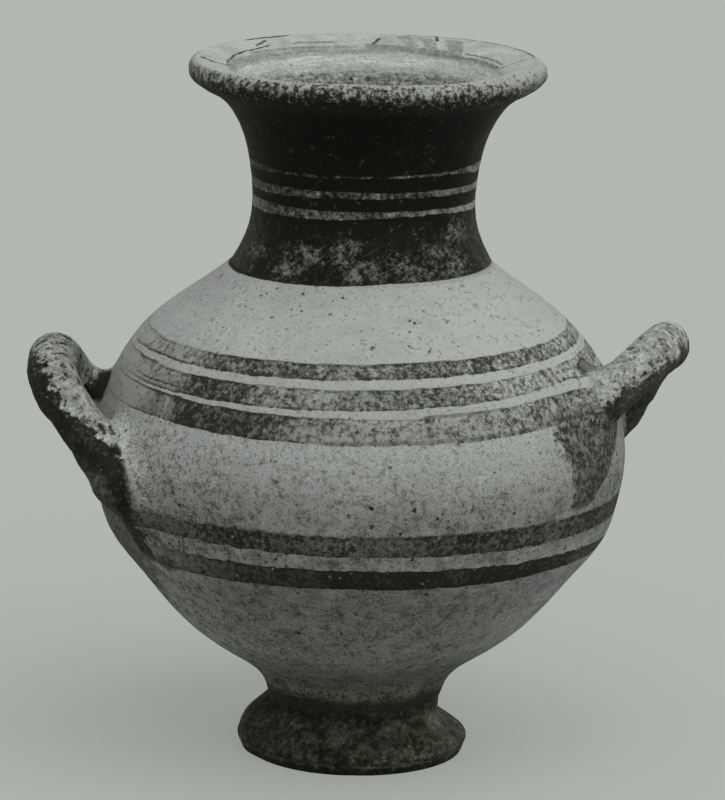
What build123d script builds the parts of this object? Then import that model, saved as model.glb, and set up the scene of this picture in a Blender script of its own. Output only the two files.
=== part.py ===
"""Painted hydria: a wheel-thrown water jar with three handles, built as the potter joins it.

Millimetres, +Z up. The origin is at the centre of the foot's resting plane. The jar is seen
from -Y, so its two carrying handles stand at -X and +X and its pouring handle at +Y.
"""

import math
import os

from build123d import *

# Heights of the thrown stretches, from the ground up
foot_height = 36.0
bowl_height = 111.0
belly_rise = 47.0
shoulder_height = 118.5
neck_foot_height = 39.5
neck_flare_height = 68.0
lip_height = 20.0

# Outside radii, and how much slimmer the pot is at its girdle than at its belly
stem_radius = 53.8
belly_radius = 166.8
girdle_set_in = 9.8
neck_base_radius = 81.6
neck_waist_radius = 69.1
lip_join_radius = 96.4

# Clay thickness
wall = 8.0
floor_thickness = 10.0

# Foot: a bell with a rounded toe, hollow underneath
toe_radius = 70.7
toe_height = 8.0
toe_overhang = 4.7
foot_ring_width = 10.0
foot_seat_width = 15.8
foot_recess_swell = 4.0
foot_edge_round = 1.5

# Lip: a heavy rounded band with a top that slopes into the throat
lip_seat_width = 13.9
heel_overhang = 9.6
heel_rise = 5.3
roll_overhang = 14.2
roll_rise = 11.6
crest_overhang = 9.2
throat_spread = 2.5
throat_edge_drop = 6.0
crest_round = 2.5
throat_edge_round = 3.0

# Carrying handles: rolled bars, each bent twice at its crown and once at each root
handle_stand_out = 38.7
crown_bend_radius = 33.0
heel_bend_radius = 23.0
heel_stand = 5.0

# Each handle was pressed on by hand, so each root has its own place: degrees round from the
# handle's side, and its height over the belly. Each crown has a height and sits off mid-span.
left_bar_diameter = 30.4
left_near_angle = 34.0
left_near_lift = -11.5
left_far_angle = 17.0
left_far_lift = 3.0
left_crown_lift = 57.0
left_crown_setback = -12.0
right_bar_diameter = 28.4
right_near_angle = 21.0
right_near_lift = 44.5
right_far_angle = 21.0
right_far_lift = 2.5
right_crown_lift = 67.0
right_crown_setback = 5.0

# Pouring handle: an oval strap behind, from the neck's waist to the shoulder
strap_width = 38.0
strap_thickness = 20.0
strap_bend_radius = 40.0
strap_crown_rise = 18.0
strap_stand_out = 68.0
strap_shoulder_drop = 50.5
strap_heel_radius = 22.0
strap_heel_stand = 6.0

# Clay pressed round each root: its thickness at the pot and the edge that it thins out to
root_clay_thickness = 5.0
root_clay_edge = 1.0

# How far the ends that a cut trims run past it
overrun = 30.0

# Outlines: each point is a share of the stretch's height and a share of its change in radius
bowl_outline_shares = [(0.104, 0.046), (0.295, 0.290), (0.436, 0.498), (0.604, 0.674), (0.800, 0.845)]
belly_outline_shares = [(0.396, 0.590)]
shoulder_outline_shares = [(0.314, 0.093), (0.473, 0.201), (0.631, 0.362), (0.789, 0.615), (0.921, 0.865)]
neck_foot_outline_shares = [(0.253, 0.440), (0.633, 0.880)]
neck_flare_outline_shares = [(0.338, 0.077), (0.596, 0.242), (0.797, 0.491), (0.909, 0.707)]
bell_outline_shares = [(0.271, 0.266), (0.496, 0.598), (0.718, 0.800)]

# Where along the outside the wall's thickness is set off inwards
body_station_shares = [0.13, 0.19, 0.26, 0.34, 0.42, 0.50, 0.58, 0.66, 0.74, 0.82, 0.90, 0.955]
neck_station_shares = [0.08, 0.22, 0.38, 0.54, 0.70, 0.84]

# Height of the swell in the foot's recess, the width of a handle's crown within its span, and
# where along the straight of a leg the clay round its root begins and ends its taper
recess_swell_share = 0.45
crown_width_share = 0.36
clay_taper_start_share = 0.10
clay_taper_end_share = 0.55

# Levels and widths that follow from the sizes above
girdle_level = foot_height + bowl_height
belly_level = girdle_level + belly_rise
neck_base_level = belly_level + shoulder_height
neck_waist_level = neck_base_level + neck_foot_height
lip_join_level = neck_waist_level + neck_flare_height
throat_join_radius = lip_join_radius - lip_seat_width
handle_reach = belly_radius + handle_stand_out


def between(start, end, shares):
    """Outline points from start to end, each a share of the height and of the change in radius."""
    rise = end[1] - start[1]
    change = end[0] - start[0]
    return [(start[0] + change * outward, start[1] + rise * upward) for upward, outward in shares]


# Corners of the turned outline, as radius and height

stem_point = (stem_radius, foot_height)
girdle_point = (belly_radius - girdle_set_in, girdle_level)
belly_point = (belly_radius, belly_level)
neck_base_point = (neck_base_radius, neck_base_level)
neck_waist_point = (neck_waist_radius, neck_waist_level)
lip_join_point = (lip_join_radius, lip_join_level)
throat_join_point = (throat_join_radius, lip_join_level)

body_points = [stem_point]
body_points += between(stem_point, girdle_point, bowl_outline_shares)
body_points += [girdle_point]
body_points += between(girdle_point, belly_point, belly_outline_shares)
body_points += [belly_point]
body_points += between(belly_point, neck_base_point, shoulder_outline_shares)
body_points += [neck_base_point]

neck_points = [neck_base_point]
neck_points += between(neck_base_point, neck_waist_point, neck_foot_outline_shares)
neck_points += [neck_waist_point]
neck_points += between(neck_waist_point, lip_join_point, neck_flare_outline_shares)
neck_points += [lip_join_point]

body_outline = Spline(*body_points)
neck_outline = Spline(*neck_points)


def behind(outline, station):
    """The point of the inner surface that lies one wall behind a station of the outside."""
    along = outline % station
    inward = Vector(-along.Y, along.X)
    return outline @ station + inward * wall


def radius_at(level):
    """Outside radius of the body at a level, by halving the stretch of outline that holds it."""
    low = 0.0
    high = 1.0
    middle = (low + high) / 2
    while low < middle < high:
        if (body_outline @ middle).Y < level:
            low = middle
        else:
            high = middle
        middle = (low + high) / 2
    return (body_outline @ middle).X


def keep(piece, name):
    """Label a finished piece and write it out."""
    piece.label = name
    export_step(piece, "parts/" + name + ".step")


os.makedirs("parts", exist_ok=True)

# The form inside the pot's outer surface, which trims whatever is luted on

with BuildPart() as pot_form:
    with BuildSketch(Plane.XZ):
        with BuildLine():
            Line((0, foot_height), stem_point)
            Spline(*body_points)
            Spline(*neck_points)
            Line(lip_join_point, (0, lip_join_level))
            Line((0, lip_join_level), (0, foot_height))
        make_face()
    revolve(axis=Axis.Z)

# The pot's wall and floor, from the stem to the join with the lip

inner_floor_point = Vector(stem_radius - floor_thickness, foot_height + floor_thickness)
inner_points = [inner_floor_point]
inner_points += [behind(body_outline, station) for station in body_station_shares]
inner_points += [behind(neck_outline, station) for station in neck_station_shares]
inner_points += [throat_join_point]

with BuildPart() as pot_wall:
    with BuildSketch(Plane.XZ):
        with BuildLine():
            Line((0, foot_height), stem_point)
            Spline(*body_points)
            Spline(*neck_points)
            Line(lip_join_point, throat_join_point)
            Spline(*inner_points)
            Line(inner_floor_point, (0, inner_floor_point.Y))
            Line((0, inner_floor_point.Y), (0, foot_height))
        make_face()
    revolve(axis=Axis.Z)

# Lower body, upper body and neck, thrown apart and joined at the girdle and the neck base

with BuildPart() as lower_body:
    add(pot_wall.part)
    split(bisect_by=Plane.XY.offset(girdle_level), keep=Keep.BOTTOM)
keep(lower_body.part, "lower_body")

with BuildPart() as upper_body:
    add(pot_wall.part)
    split(bisect_by=Plane.XY.offset(girdle_level), keep=Keep.TOP)
    split(bisect_by=Plane.XY.offset(neck_base_level), keep=Keep.BOTTOM)
keep(upper_body.part, "upper_body")

with BuildPart() as neck:
    add(pot_wall.part)
    split(bisect_by=Plane.XY.offset(neck_base_level), keep=Keep.TOP)
keep(neck.part, "neck")

# Foot

foot_edge_point = (toe_radius - toe_overhang, 0)
toe_point = (toe_radius, toe_height)
bell_points = [foot_edge_point, toe_point]
bell_points += between(toe_point, stem_point, bell_outline_shares)
bell_points += [stem_point]
ring_inner_point = (toe_radius - toe_overhang - foot_ring_width, 0)
recess_top_point = (stem_radius - foot_seat_width, foot_height)
recess_swell_point = (
    (ring_inner_point[0] + recess_top_point[0]) / 2 + foot_recess_swell,
    foot_height * recess_swell_share,
)

with BuildPart() as foot:
    with BuildSketch(Plane.XZ):
        with BuildLine():
            Line(ring_inner_point, foot_edge_point)
            Spline(*bell_points)
            Line(stem_point, recess_top_point)
            ThreePointArc(recess_top_point, recess_swell_point, ring_inner_point)
        make_face()
    revolve(axis=Axis.Z)
    fillet(foot.edges().group_by(Axis.Z)[0], foot_edge_round)
keep(foot.part, "foot")

# Lip

heel_point = (lip_join_radius + heel_overhang, lip_join_level + heel_rise)
roll_point = (lip_join_radius + roll_overhang, lip_join_level + roll_rise)
crest_point = (lip_join_radius + crest_overhang, lip_join_level + lip_height)
throat_edge_level = lip_join_level + lip_height - throat_edge_drop
throat_edge_point = (throat_join_radius + throat_spread, throat_edge_level)

with BuildPart() as lip:
    with BuildSketch(Plane.XZ):
        with BuildLine():
            Line(throat_join_point, lip_join_point)
            Line(lip_join_point, heel_point)
            ThreePointArc(heel_point, roll_point, crest_point)
            Line(crest_point, throat_edge_point)
            Line(throat_edge_point, throat_join_point)
        make_face()
    revolve(axis=Axis.Z)
    fillet(lip.edges().group_by(Axis.Z)[-1], crest_round)
    near_throat_edge = throat_edge_round / 2
    throat_edges = lip.edges().filter_by_position(
        Axis.Z, throat_edge_level - near_throat_edge, throat_edge_level + near_throat_edge
    )
    fillet(throat_edges, throat_edge_round)
keep(lip.part, "lip")

# Sections of the handles, square to their run, with clay of a thickness round them


class RolledBar:
    """The round section of a carrying handle."""

    def __init__(self, diameter):
        self.diameter = diameter

    def section(self, place, facing, extra=0):
        with BuildSketch(Plane(place, z_dir=facing)) as outline:
            Circle(self.diameter / 2 + extra)
        return outline.sketch


class Strap:
    """The oval section of the pouring handle, wide across X."""

    def section(self, place, facing, extra=0):
        with BuildSketch(Plane(place, x_dir=(1, 0, 0), z_dir=facing)) as outline:
            Ellipse(strap_width / 2 + extra, strap_thickness / 2 + extra)
        return outline.sketch


def run_through(corners, bends):
    """The centre line through a handle's corners, with a bend at each inner one."""
    with BuildLine() as line:
        if bends:
            FilletPolyline(*corners, radius=bends)
        else:
            Polyline(*corners)
    return line.wire()


def bend_reach(before, corner, after, bend):
    """How far from a corner its bend reaches along each run."""
    turn = (corner - before).get_angle(after - corner)
    return bend * math.tan(math.radians(turn) / 2)


def bent_bar(clay, corners, bends):
    """The whole bar of a handle, its ends still inside the pot."""
    line = run_through(corners, bends)
    with BuildPart() as bar:
        add(clay.section(line @ 0, line % 0))
        sweep(path=line)
    return bar.part


def keep_luted(bar, name):
    """Keep a handle, cut where it meets the pot."""
    with BuildPart() as handle:
        add(bar)
        add(pot_form.part, mode=Mode.SUBTRACT)
    keep(handle.part, name)


def keep_root_clay(clay, root_corners, root_bends, straight_start, straight_end, bar, name):
    """Keep the clay pressed round a root, from the wall to where it thins out on the straight."""
    straight = straight_end - straight_start
    taper_start = straight_start + straight * clay_taper_start_share
    taper_end = straight_start + straight * clay_taper_end_share
    line = run_through(root_corners + [taper_start], root_bends)
    with BuildPart() as pressed:
        add(clay.section(line @ 0, line % 0, root_clay_thickness))
        sweep(path=line)
        add(clay.section(taper_start, straight, root_clay_thickness))
        add(clay.section(taper_end, straight, root_clay_edge))
        loft()
        add(bar, mode=Mode.SUBTRACT)
        add(pot_form.part, mode=Mode.SUBTRACT)
    keep(pressed.part, name)


# Carrying handles and the clay round their roots


def around(side, depth_side, radius, angle, level):
    """A point at a radius and level: side is -1 or 1, depth_side -1 for near or 1 for far."""
    turn = math.radians(angle)
    return Vector(side * radius * math.cos(turn), depth_side * radius * math.sin(turn), level)


class HandleRoot:
    """Where one end of a carrying handle meets the pot: its heel outside, its end in the wall."""

    def __init__(self, side, depth_side, angle, lift):
        level = belly_level + lift
        radius = radius_at(level)
        self.heel = around(side, depth_side, radius + heel_stand, angle, level)
        self.end = around(side, depth_side, radius - overrun, angle, level)


def crown_corners(side, near, far, bar_diameter, lift, setback):
    """The two corners between which a carrying handle crosses over at its crown."""
    middle = (near.heel + far.heel) / 2
    span = far.heel - near.heel
    half_width = Vector(0, span.Y, span.Z) * crown_width_share / 2
    reach = handle_reach - bar_diameter / 2
    crown = Vector(side * reach, middle.Y + setback, belly_level + lift)
    return crown - half_width, crown + half_width


def keep_heel_clay(clay, root, crown_corner, next_corner, bar, name):
    """Keep the clay round one root of a carrying handle."""
    leg = (crown_corner - root.heel).normalized()
    heel_reach = bend_reach(root.end, root.heel, crown_corner, heel_bend_radius)
    crown_reach = bend_reach(root.heel, crown_corner, next_corner, crown_bend_radius)
    straight_start = root.heel + leg * heel_reach
    straight_end = crown_corner - leg * crown_reach
    corners = [root.end, root.heel]
    keep_root_clay(clay, corners, [heel_bend_radius], straight_start, straight_end, bar, name)


def carrying_handle(name, side, near, far, bar_diameter, crown_lift, crown_setback):
    """Keep a carrying handle and the clay round its two roots."""
    clay = RolledBar(bar_diameter)
    near_crown, far_crown = crown_corners(side, near, far, bar_diameter, crown_lift, crown_setback)
    corners = [near.end, near.heel, near_crown, far_crown, far.heel, far.end]
    bends = [heel_bend_radius, crown_bend_radius, crown_bend_radius, heel_bend_radius]
    bar = bent_bar(clay, corners, bends)
    keep_luted(bar, name + "_handle")
    keep_heel_clay(clay, near, near_crown, far_crown, bar, name + "_near_root_clay")
    keep_heel_clay(clay, far, far_crown, near_crown, bar, name + "_far_root_clay")


carrying_handle(
    "left",
    -1,
    HandleRoot(-1, -1, left_near_angle, left_near_lift),
    HandleRoot(-1, 1, left_far_angle, left_far_lift),
    left_bar_diameter,
    left_crown_lift,
    left_crown_setback,
)
carrying_handle(
    "right",
    1,
    HandleRoot(1, -1, right_near_angle, right_near_lift),
    HandleRoot(1, 1, right_far_angle, right_far_lift),
    right_bar_diameter,
    right_crown_lift,
    right_crown_setback,
)

# Pouring handle and the clay round its two ends

strap = Strap()
strap_shoulder_level = neck_base_level - strap_shoulder_drop
strap_shoulder_radius = radius_at(strap_shoulder_level)
strap_neck_end = Vector(0, neck_waist_radius - wall, neck_waist_level)
strap_crown = Vector(0, neck_waist_radius + strap_stand_out, neck_waist_level + strap_crown_rise)
strap_heel = Vector(0, strap_shoulder_radius + strap_heel_stand, strap_shoulder_level)
strap_shoulder_end = Vector(0, strap_shoulder_radius - overrun, strap_shoulder_level)
strap_corners = [strap_neck_end, strap_crown, strap_heel, strap_shoulder_end]
strap_bar = bent_bar(strap, strap_corners, [strap_bend_radius, strap_heel_radius])
keep_luted(strap_bar, "back_handle")

neck_run = (strap_crown - strap_neck_end).normalized()
shoulder_run = (strap_crown - strap_heel).normalized()
strap_crown_reach = bend_reach(strap_neck_end, strap_crown, strap_heel, strap_bend_radius)
strap_heel_reach = bend_reach(strap_shoulder_end, strap_heel, strap_crown, strap_heel_radius)

keep_root_clay(
    strap,
    [strap_neck_end],
    [],
    strap_neck_end + neck_run * wall,
    strap_crown - neck_run * strap_crown_reach,
    strap_bar,
    "back_neck_root_clay",
)
keep_root_clay(
    strap,
    [strap_shoulder_end, strap_heel],
    [strap_heel_radius],
    strap_heel + shoulder_run * strap_heel_reach,
    strap_crown - shoulder_run * strap_crown_reach,
    strap_bar,
    "back_shoulder_root_clay",
)
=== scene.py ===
"""Painted hydria: thrown walls, bent handles and worn slip on a three-handled water jar.

Sizes are in millimetres until a mesh is made, and Blender's own units are metres. The origin
is at the centre of the resting plane, +Z is up and the jar is seen from -Y.
"""

import logging
import math
from dataclasses import dataclass
from enum import Enum
from functools import cached_property, reduce
from typing import Any, Optional, Sequence, Union

import bpy
import numpy as np
from mathutils import Matrix, Vector


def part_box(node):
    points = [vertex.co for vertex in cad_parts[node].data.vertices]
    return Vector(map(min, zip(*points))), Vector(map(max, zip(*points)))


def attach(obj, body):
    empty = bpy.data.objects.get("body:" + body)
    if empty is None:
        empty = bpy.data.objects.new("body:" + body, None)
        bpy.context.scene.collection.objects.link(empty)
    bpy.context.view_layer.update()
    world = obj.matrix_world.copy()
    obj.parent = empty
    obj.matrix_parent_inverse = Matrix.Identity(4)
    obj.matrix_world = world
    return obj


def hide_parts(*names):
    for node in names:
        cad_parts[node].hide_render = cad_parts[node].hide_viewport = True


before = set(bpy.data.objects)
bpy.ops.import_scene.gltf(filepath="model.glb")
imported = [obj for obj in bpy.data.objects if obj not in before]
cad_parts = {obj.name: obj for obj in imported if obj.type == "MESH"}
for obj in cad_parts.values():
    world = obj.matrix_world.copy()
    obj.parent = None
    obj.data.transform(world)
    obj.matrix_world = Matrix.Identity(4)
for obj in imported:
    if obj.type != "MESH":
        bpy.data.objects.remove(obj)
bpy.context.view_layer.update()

log = logging.getLogger("hydria")

MM = 0.001
BODY = "root"
Point2 = tuple[float, float]
Point3 = tuple[float, float, float]
Stops = tuple[Point2, ...]

# How finely the shapes are drawn, and the angles in degrees past which their edges stay sharp
FINE = 0.5
OUTSIDE_STEP = 1.7
LIP_STEP = 1.25
JOIN_STEP = 4.0
BAR_STEP = 1.4
ARC_STEPS = 24
THROWN_CREASE = 40.0
BAR_CREASE = 60.0
CLAY_CREASE = 75.0

# The circle that carries an outline round the axis, and the gap that closes at the axis
WHEEL_RADIUS = 1000.0
CLOSING = 0.01

# Pressed clay: the depth of the line in the wall that it is measured from, how far it dips
# where it has thinned out, how deep it reaches into the wall, and the height of its lumps
CORE_DEPTH = 14.0
CLAY_SINK = 0.3
CLAY_ROOT_DEPTH = 3.0
LUMP = 6.0
LUMP_WIDTH = 11.0


class Slot(Enum):
    """The record's material slots."""

    FOOT = "dark_slip_foot"
    BODY = "banded_body"
    NECK = "dark_slip_neck"
    LIP = "bare_lip"
    HANDLE = "worn_handle"
    ROOT_CLAY = "root_clay"


class Side(Enum):
    """A side of the jar, as its sign along X."""

    LEFT = -1
    RIGHT = 1


class Depth(Enum):
    """An end of a carrying handle, as its sign along Y."""

    NEAR = -1
    FAR = 1


def lowest(node: str) -> Vector:
    """Lowest corner of a node's box, in millimetres."""
    return Vector(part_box(node)[0]) / MM


def highest(node: str) -> Vector:
    """Highest corner of a node's box, in millimetres."""
    return Vector(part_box(node)[1]) / MM


# Levels and widths of the jar, read from the CAD parts in model.glb

FOOT_TOP = highest("foot").z
GIRDLE = highest("lower_body").z
NECK_BASE = highest("upper_body").z
LIP_JOIN = highest("neck").z
JAR_TOP = highest("lip").z
TOE_RADIUS = highest("foot").x
GIRDLE_RADIUS = highest("lower_body").x
BELLY_RADIUS = highest("upper_body").x
LIP_JOIN_RADIUS = highest("neck").x
LIP_RADIUS = highest("lip").x
HANDLE_REACH = -lowest("left_handle").x


class Number:
    """A number socket. Sums and products of it add Math nodes to its tree."""

    def __init__(self, bench: "Bench", socket: bpy.types.NodeSocket) -> None:
        """Wrap a socket of a tree."""
        self.bench = bench
        self.socket = socket

    def math(self, operation: str, *others: "Scalar", clamp: bool = False) -> "Number":
        """Add a Math node.

        Args:
            operation: The node's operation.
            others: What comes after this number in the node's inputs.
            clamp: Whether the result is held between 0 and 1.

        Returns:
            The node's result.
        """
        settings = {"operation": operation, "use_clamp": clamp}
        inputs = dict(enumerate((self, *others)))
        return self.bench.node("ShaderNodeMath", settings, inputs)

    def __add__(self, other: "Scalar") -> "Number":
        """This number plus another."""
        return self.math("ADD", other)

    __radd__ = __add__

    def __sub__(self, other: "Scalar") -> "Number":
        """This number less another."""
        return self.math("SUBTRACT", other)

    def __rsub__(self, other: float) -> "Number":
        """A plain number less this one."""
        return self.math("MULTIPLY_ADD", -1.0, other)

    def __mul__(self, other: "Scalar") -> "Number":
        """This number times another."""
        return self.math("MULTIPLY", other)

    __rmul__ = __mul__

    def __truediv__(self, other: "Scalar") -> "Number":
        """This number divided by another."""
        return self.math("DIVIDE", other)

    def __pow__(self, power: float) -> "Number":
        """This number to a power."""
        return self.math("POWER", power)

    def size(self) -> "Number":
        """This number without its sign."""
        return self.math("ABSOLUTE")

    def sine(self) -> "Number":
        """The sine of this angle in radians."""
        return self.math("SINE")

    def least(self, other: "Scalar") -> "Number":
        """The smaller of this number and another."""
        return self.math("MINIMUM", other)

    def most(self, other: "Scalar") -> "Number":
        """The larger of this number and another."""
        return self.math("MAXIMUM", other)

    def along(self, direction: "Spatial") -> "Triple":
        """A direction times this number."""
        inputs = {0: direction, "Scale": self}
        return self.bench.node("ShaderNodeVectorMath", {"operation": "SCALE"}, inputs)

    def rises(self, low: float, high: float) -> "Number":
        """A smooth step.

        Args:
            low: Where the step is still 0.
            high: Where it has reached 1. Below low, the step falls instead.

        Returns:
            The step, between 0 and 1.
        """
        settings = {"interpolation_type": "SMOOTHSTEP"}
        ends = (low, high, 0.0, 1.0) if low < high else (high, low, 1.0, 0.0)
        return self.bench.node("ShaderNodeMapRange", settings, dict(enumerate((self, *ends))))

    def towards(self, other: "Scalar", share: "Scalar") -> "Number":
        """This number, moved towards another by a share of the way."""
        inputs = {"Factor": share, 2: self, 3: other}
        return self.bench.node("ShaderNodeMix", {"data_type": "FLOAT"}, inputs)


class Triple:
    """A vector socket. Sums and products of it add Vector Math nodes to its tree."""

    def __init__(self, bench: "Bench", socket: bpy.types.NodeSocket) -> None:
        """Wrap a socket of a tree."""
        self.bench = bench
        self.socket = socket

    def math(self, operation: str, inputs: dict, output: Union[int, str] = 0) -> Any:
        """One output of a Vector Math node that has this vector as its first input."""
        settings = {"operation": operation}
        return self.bench.node("ShaderNodeVectorMath", settings, {0: self, **inputs}, output)

    def __add__(self, other: "Spatial") -> "Triple":
        """This vector plus another."""
        return self.math("ADD", {1: other})

    def __sub__(self, other: "Spatial") -> "Triple":
        """This vector less another."""
        return self.math("SUBTRACT", {1: other})

    def __mul__(self, other: "Scalar") -> "Triple":
        """This vector times a number."""
        return self.math("SCALE", {"Scale": other})

    def stretched(self, other: "Spatial") -> "Triple":
        """This vector times another, component by component."""
        return self.math("MULTIPLY", {1: other})

    def distance(self, other: "Spatial") -> Number:
        """How far this point is from another."""
        return self.math("DISTANCE", {1: other}, "Value")

    def length(self) -> Number:
        """How long this vector is."""
        return self.math("LENGTH", {}, "Value")

    def unit(self) -> "Triple":
        """This vector at a length of 1."""
        return self.math("NORMALIZE", {})

    def dot(self, other: "Spatial") -> Number:
        """This vector's dot product with another."""
        return self.math("DOT_PRODUCT", {1: other}, "Value")

    def split(self) -> tuple[Number, Number, Number]:
        """The three components."""
        separate = self.bench.raw("ShaderNodeSeparateXYZ", {}, {0: self})
        return tuple(Number(self.bench, output) for output in separate.outputs)


Scalar = Union[float, Number]
Spatial = Union[Point3, Triple]
WRAPPERS = {"VALUE": Number, "VECTOR": Triple, "RGBA": Triple}


class Bench:
    """A node tree on which expressions are written."""

    def __init__(self, tree: bpy.types.NodeTree) -> None:
        """Write on a tree."""
        self.tree = tree

    def raw(self, kind: str, settings: dict, inputs: dict) -> bpy.types.Node:
        """Add a node.

        Args:
            kind: The node's type.
            settings: Its own settings, which are set first. "stops" are a ramp's stops.
            inputs: Values or sockets, by the input's place or name.

        Returns:
            The node.
        """
        node = self.tree.nodes.new(kind)
        for name, value in settings.items():
            if name == "stops":
                self._set_stops(node.color_ramp, value)
            else:
                setattr(node, name, value)
        for key, value in inputs.items():
            if isinstance(value, (Number, Triple)):
                value = value.socket
            if isinstance(value, bpy.types.NodeSocket):
                self.tree.links.new(value, node.inputs[key])
            else:
                node.inputs[key].default_value = value
        return node

    @staticmethod
    def _set_stops(ramp: bpy.types.ColorRamp, stops: Sequence[tuple[float, tuple]]) -> None:
        """Give a ramp its stops, each a place and a colour.

        Args:
            ramp: The ramp.
            stops: The places and their colours.
        """
        while len(ramp.elements) < len(stops):
            ramp.elements.new(1.0)
        for element, (place, colour) in zip(ramp.elements, stops):
            element.position = place
            element.color = (*colour, 1.0)

    def node(
        self,
        kind: str,
        settings: Optional[dict] = None,
        inputs: Optional[dict] = None,
        output: Union[int, str] = 0,
    ) -> Any:
        """Add a node and take one of its outputs.

        Args:
            kind: The node's type.
            settings: Its own settings.
            inputs: Values or sockets of its inputs.
            output: The output's place or name.

        Returns:
            The output as a Number or a Triple, or the plain socket of any other kind.
        """
        node = self.raw(kind, settings or {}, inputs or {})
        if kind == "ShaderNodeMix" and node.data_type == "RGBA":
            output = 2
        return self.wrap(node.outputs[output])

    def wrap(self, socket: bpy.types.NodeSocket) -> Any:
        """A socket as a Number or a Triple, or as it is when it is of any other kind."""
        wrapper = WRAPPERS.get(socket.type)
        return wrapper(self, socket) if wrapper else socket

    def grain(
        self,
        place: Triple,
        size: float,
        seed: float,
        detail: float = 2.0,
        rough: float = 0.5,
    ) -> Number:
        """Cloudy noise between 0 and 1, with clouds about as wide as their size."""
        inputs = {"Vector": self.shifted(place, seed), "Scale": 1.0 / size}
        return self.node("ShaderNodeTexNoise", {}, {**inputs, "Detail": detail, "Roughness": rough})

    def stray(self, place: Triple, size: float, detail: float) -> Triple:
        """Cloudy noise about 0 along each axis."""
        inputs = {"Vector": place, "Scale": 1 / size, "Detail": detail}
        return self.node("ShaderNodeTexNoise", {}, inputs, "Color") - (0.5, 0.5, 0.5)

    def shifted(self, place: Triple, seed: float) -> Triple:
        """A point moved far along, so that each seed reads another part of a pattern."""
        return place + (seed * 137.1, seed * 91.7, seed * 53.3)


# The hand of the potter: the same small unevenness runs through every piece, so that pieces
# which meet still meet after it


@dataclass(frozen=True)
class Scoop:
    """A chip or a dent: a ball of a radius takes the surface inwards by a depth."""

    centre: Point3
    radius: float
    depth: float
    inward: Point3


JAR_SCOOPS = (
    Scoop((203, -8, 262), 20, 2.4, (-1, 0, -0.2)),
    Scoop((186, -46, 262), 12, 1.3, (-0.4, 0.6, -0.8)),
    Scoop((196, 28, 234), 17, 2.4, (-0.85, -0.1, 0.5)),
    Scoop((188, 32, 223), 20, 4.2, (-0.85, -0.1, 0.5)),
    Scoop((179, 40, 209), 18, 3.4, (-0.85, -0.1, 0.5)),
    Scoop((-196, -40, 252), 12, 1.2, (1, 0, -0.3)),
    Scoop((-188, -80, 222), 18, 2.2, (0.8, 0.3, 0.5)),
    Scoop((-178, -87, 211), 18, 4.2, (0.8, 0.3, 0.5)),
    Scoop((-168, -94, 198), 18, 3, (0.8, 0.3, 0.5)),
    Scoop((-148, -112, 227), 8, 1.2, (0.6, 0.7, 0.1)),
    Scoop((-104, -30, 428), 9, 1.1, (1, 0.2, 0.2)),
    Scoop((-70, -84, 433), 8, 0.9, (0.6, 0.7, 0)),
    Scoop((62, -92, 430), 8, 0.9, (-0.5, 0.8, 0)),
    Scoop((104, -44, 428), 9, 1.2, (-1, 0.3, 0.3)),
    Scoop((52, -42, 17), 15, -2, (-0.7, 0.6, -0.3)),
    Scoop((44, -34, 33), 12, 2, (-0.8, 0.6, 0)),
    Scoop((58, 4, 26), 15, 3.2, (-1, 0, 0)),
    Scoop((0, -70, 9), 14, 0.8, (0, 1, 0)),
    Scoop((-68, -8, 15), 32, -3.2, (1, 0, 0)),
)


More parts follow.
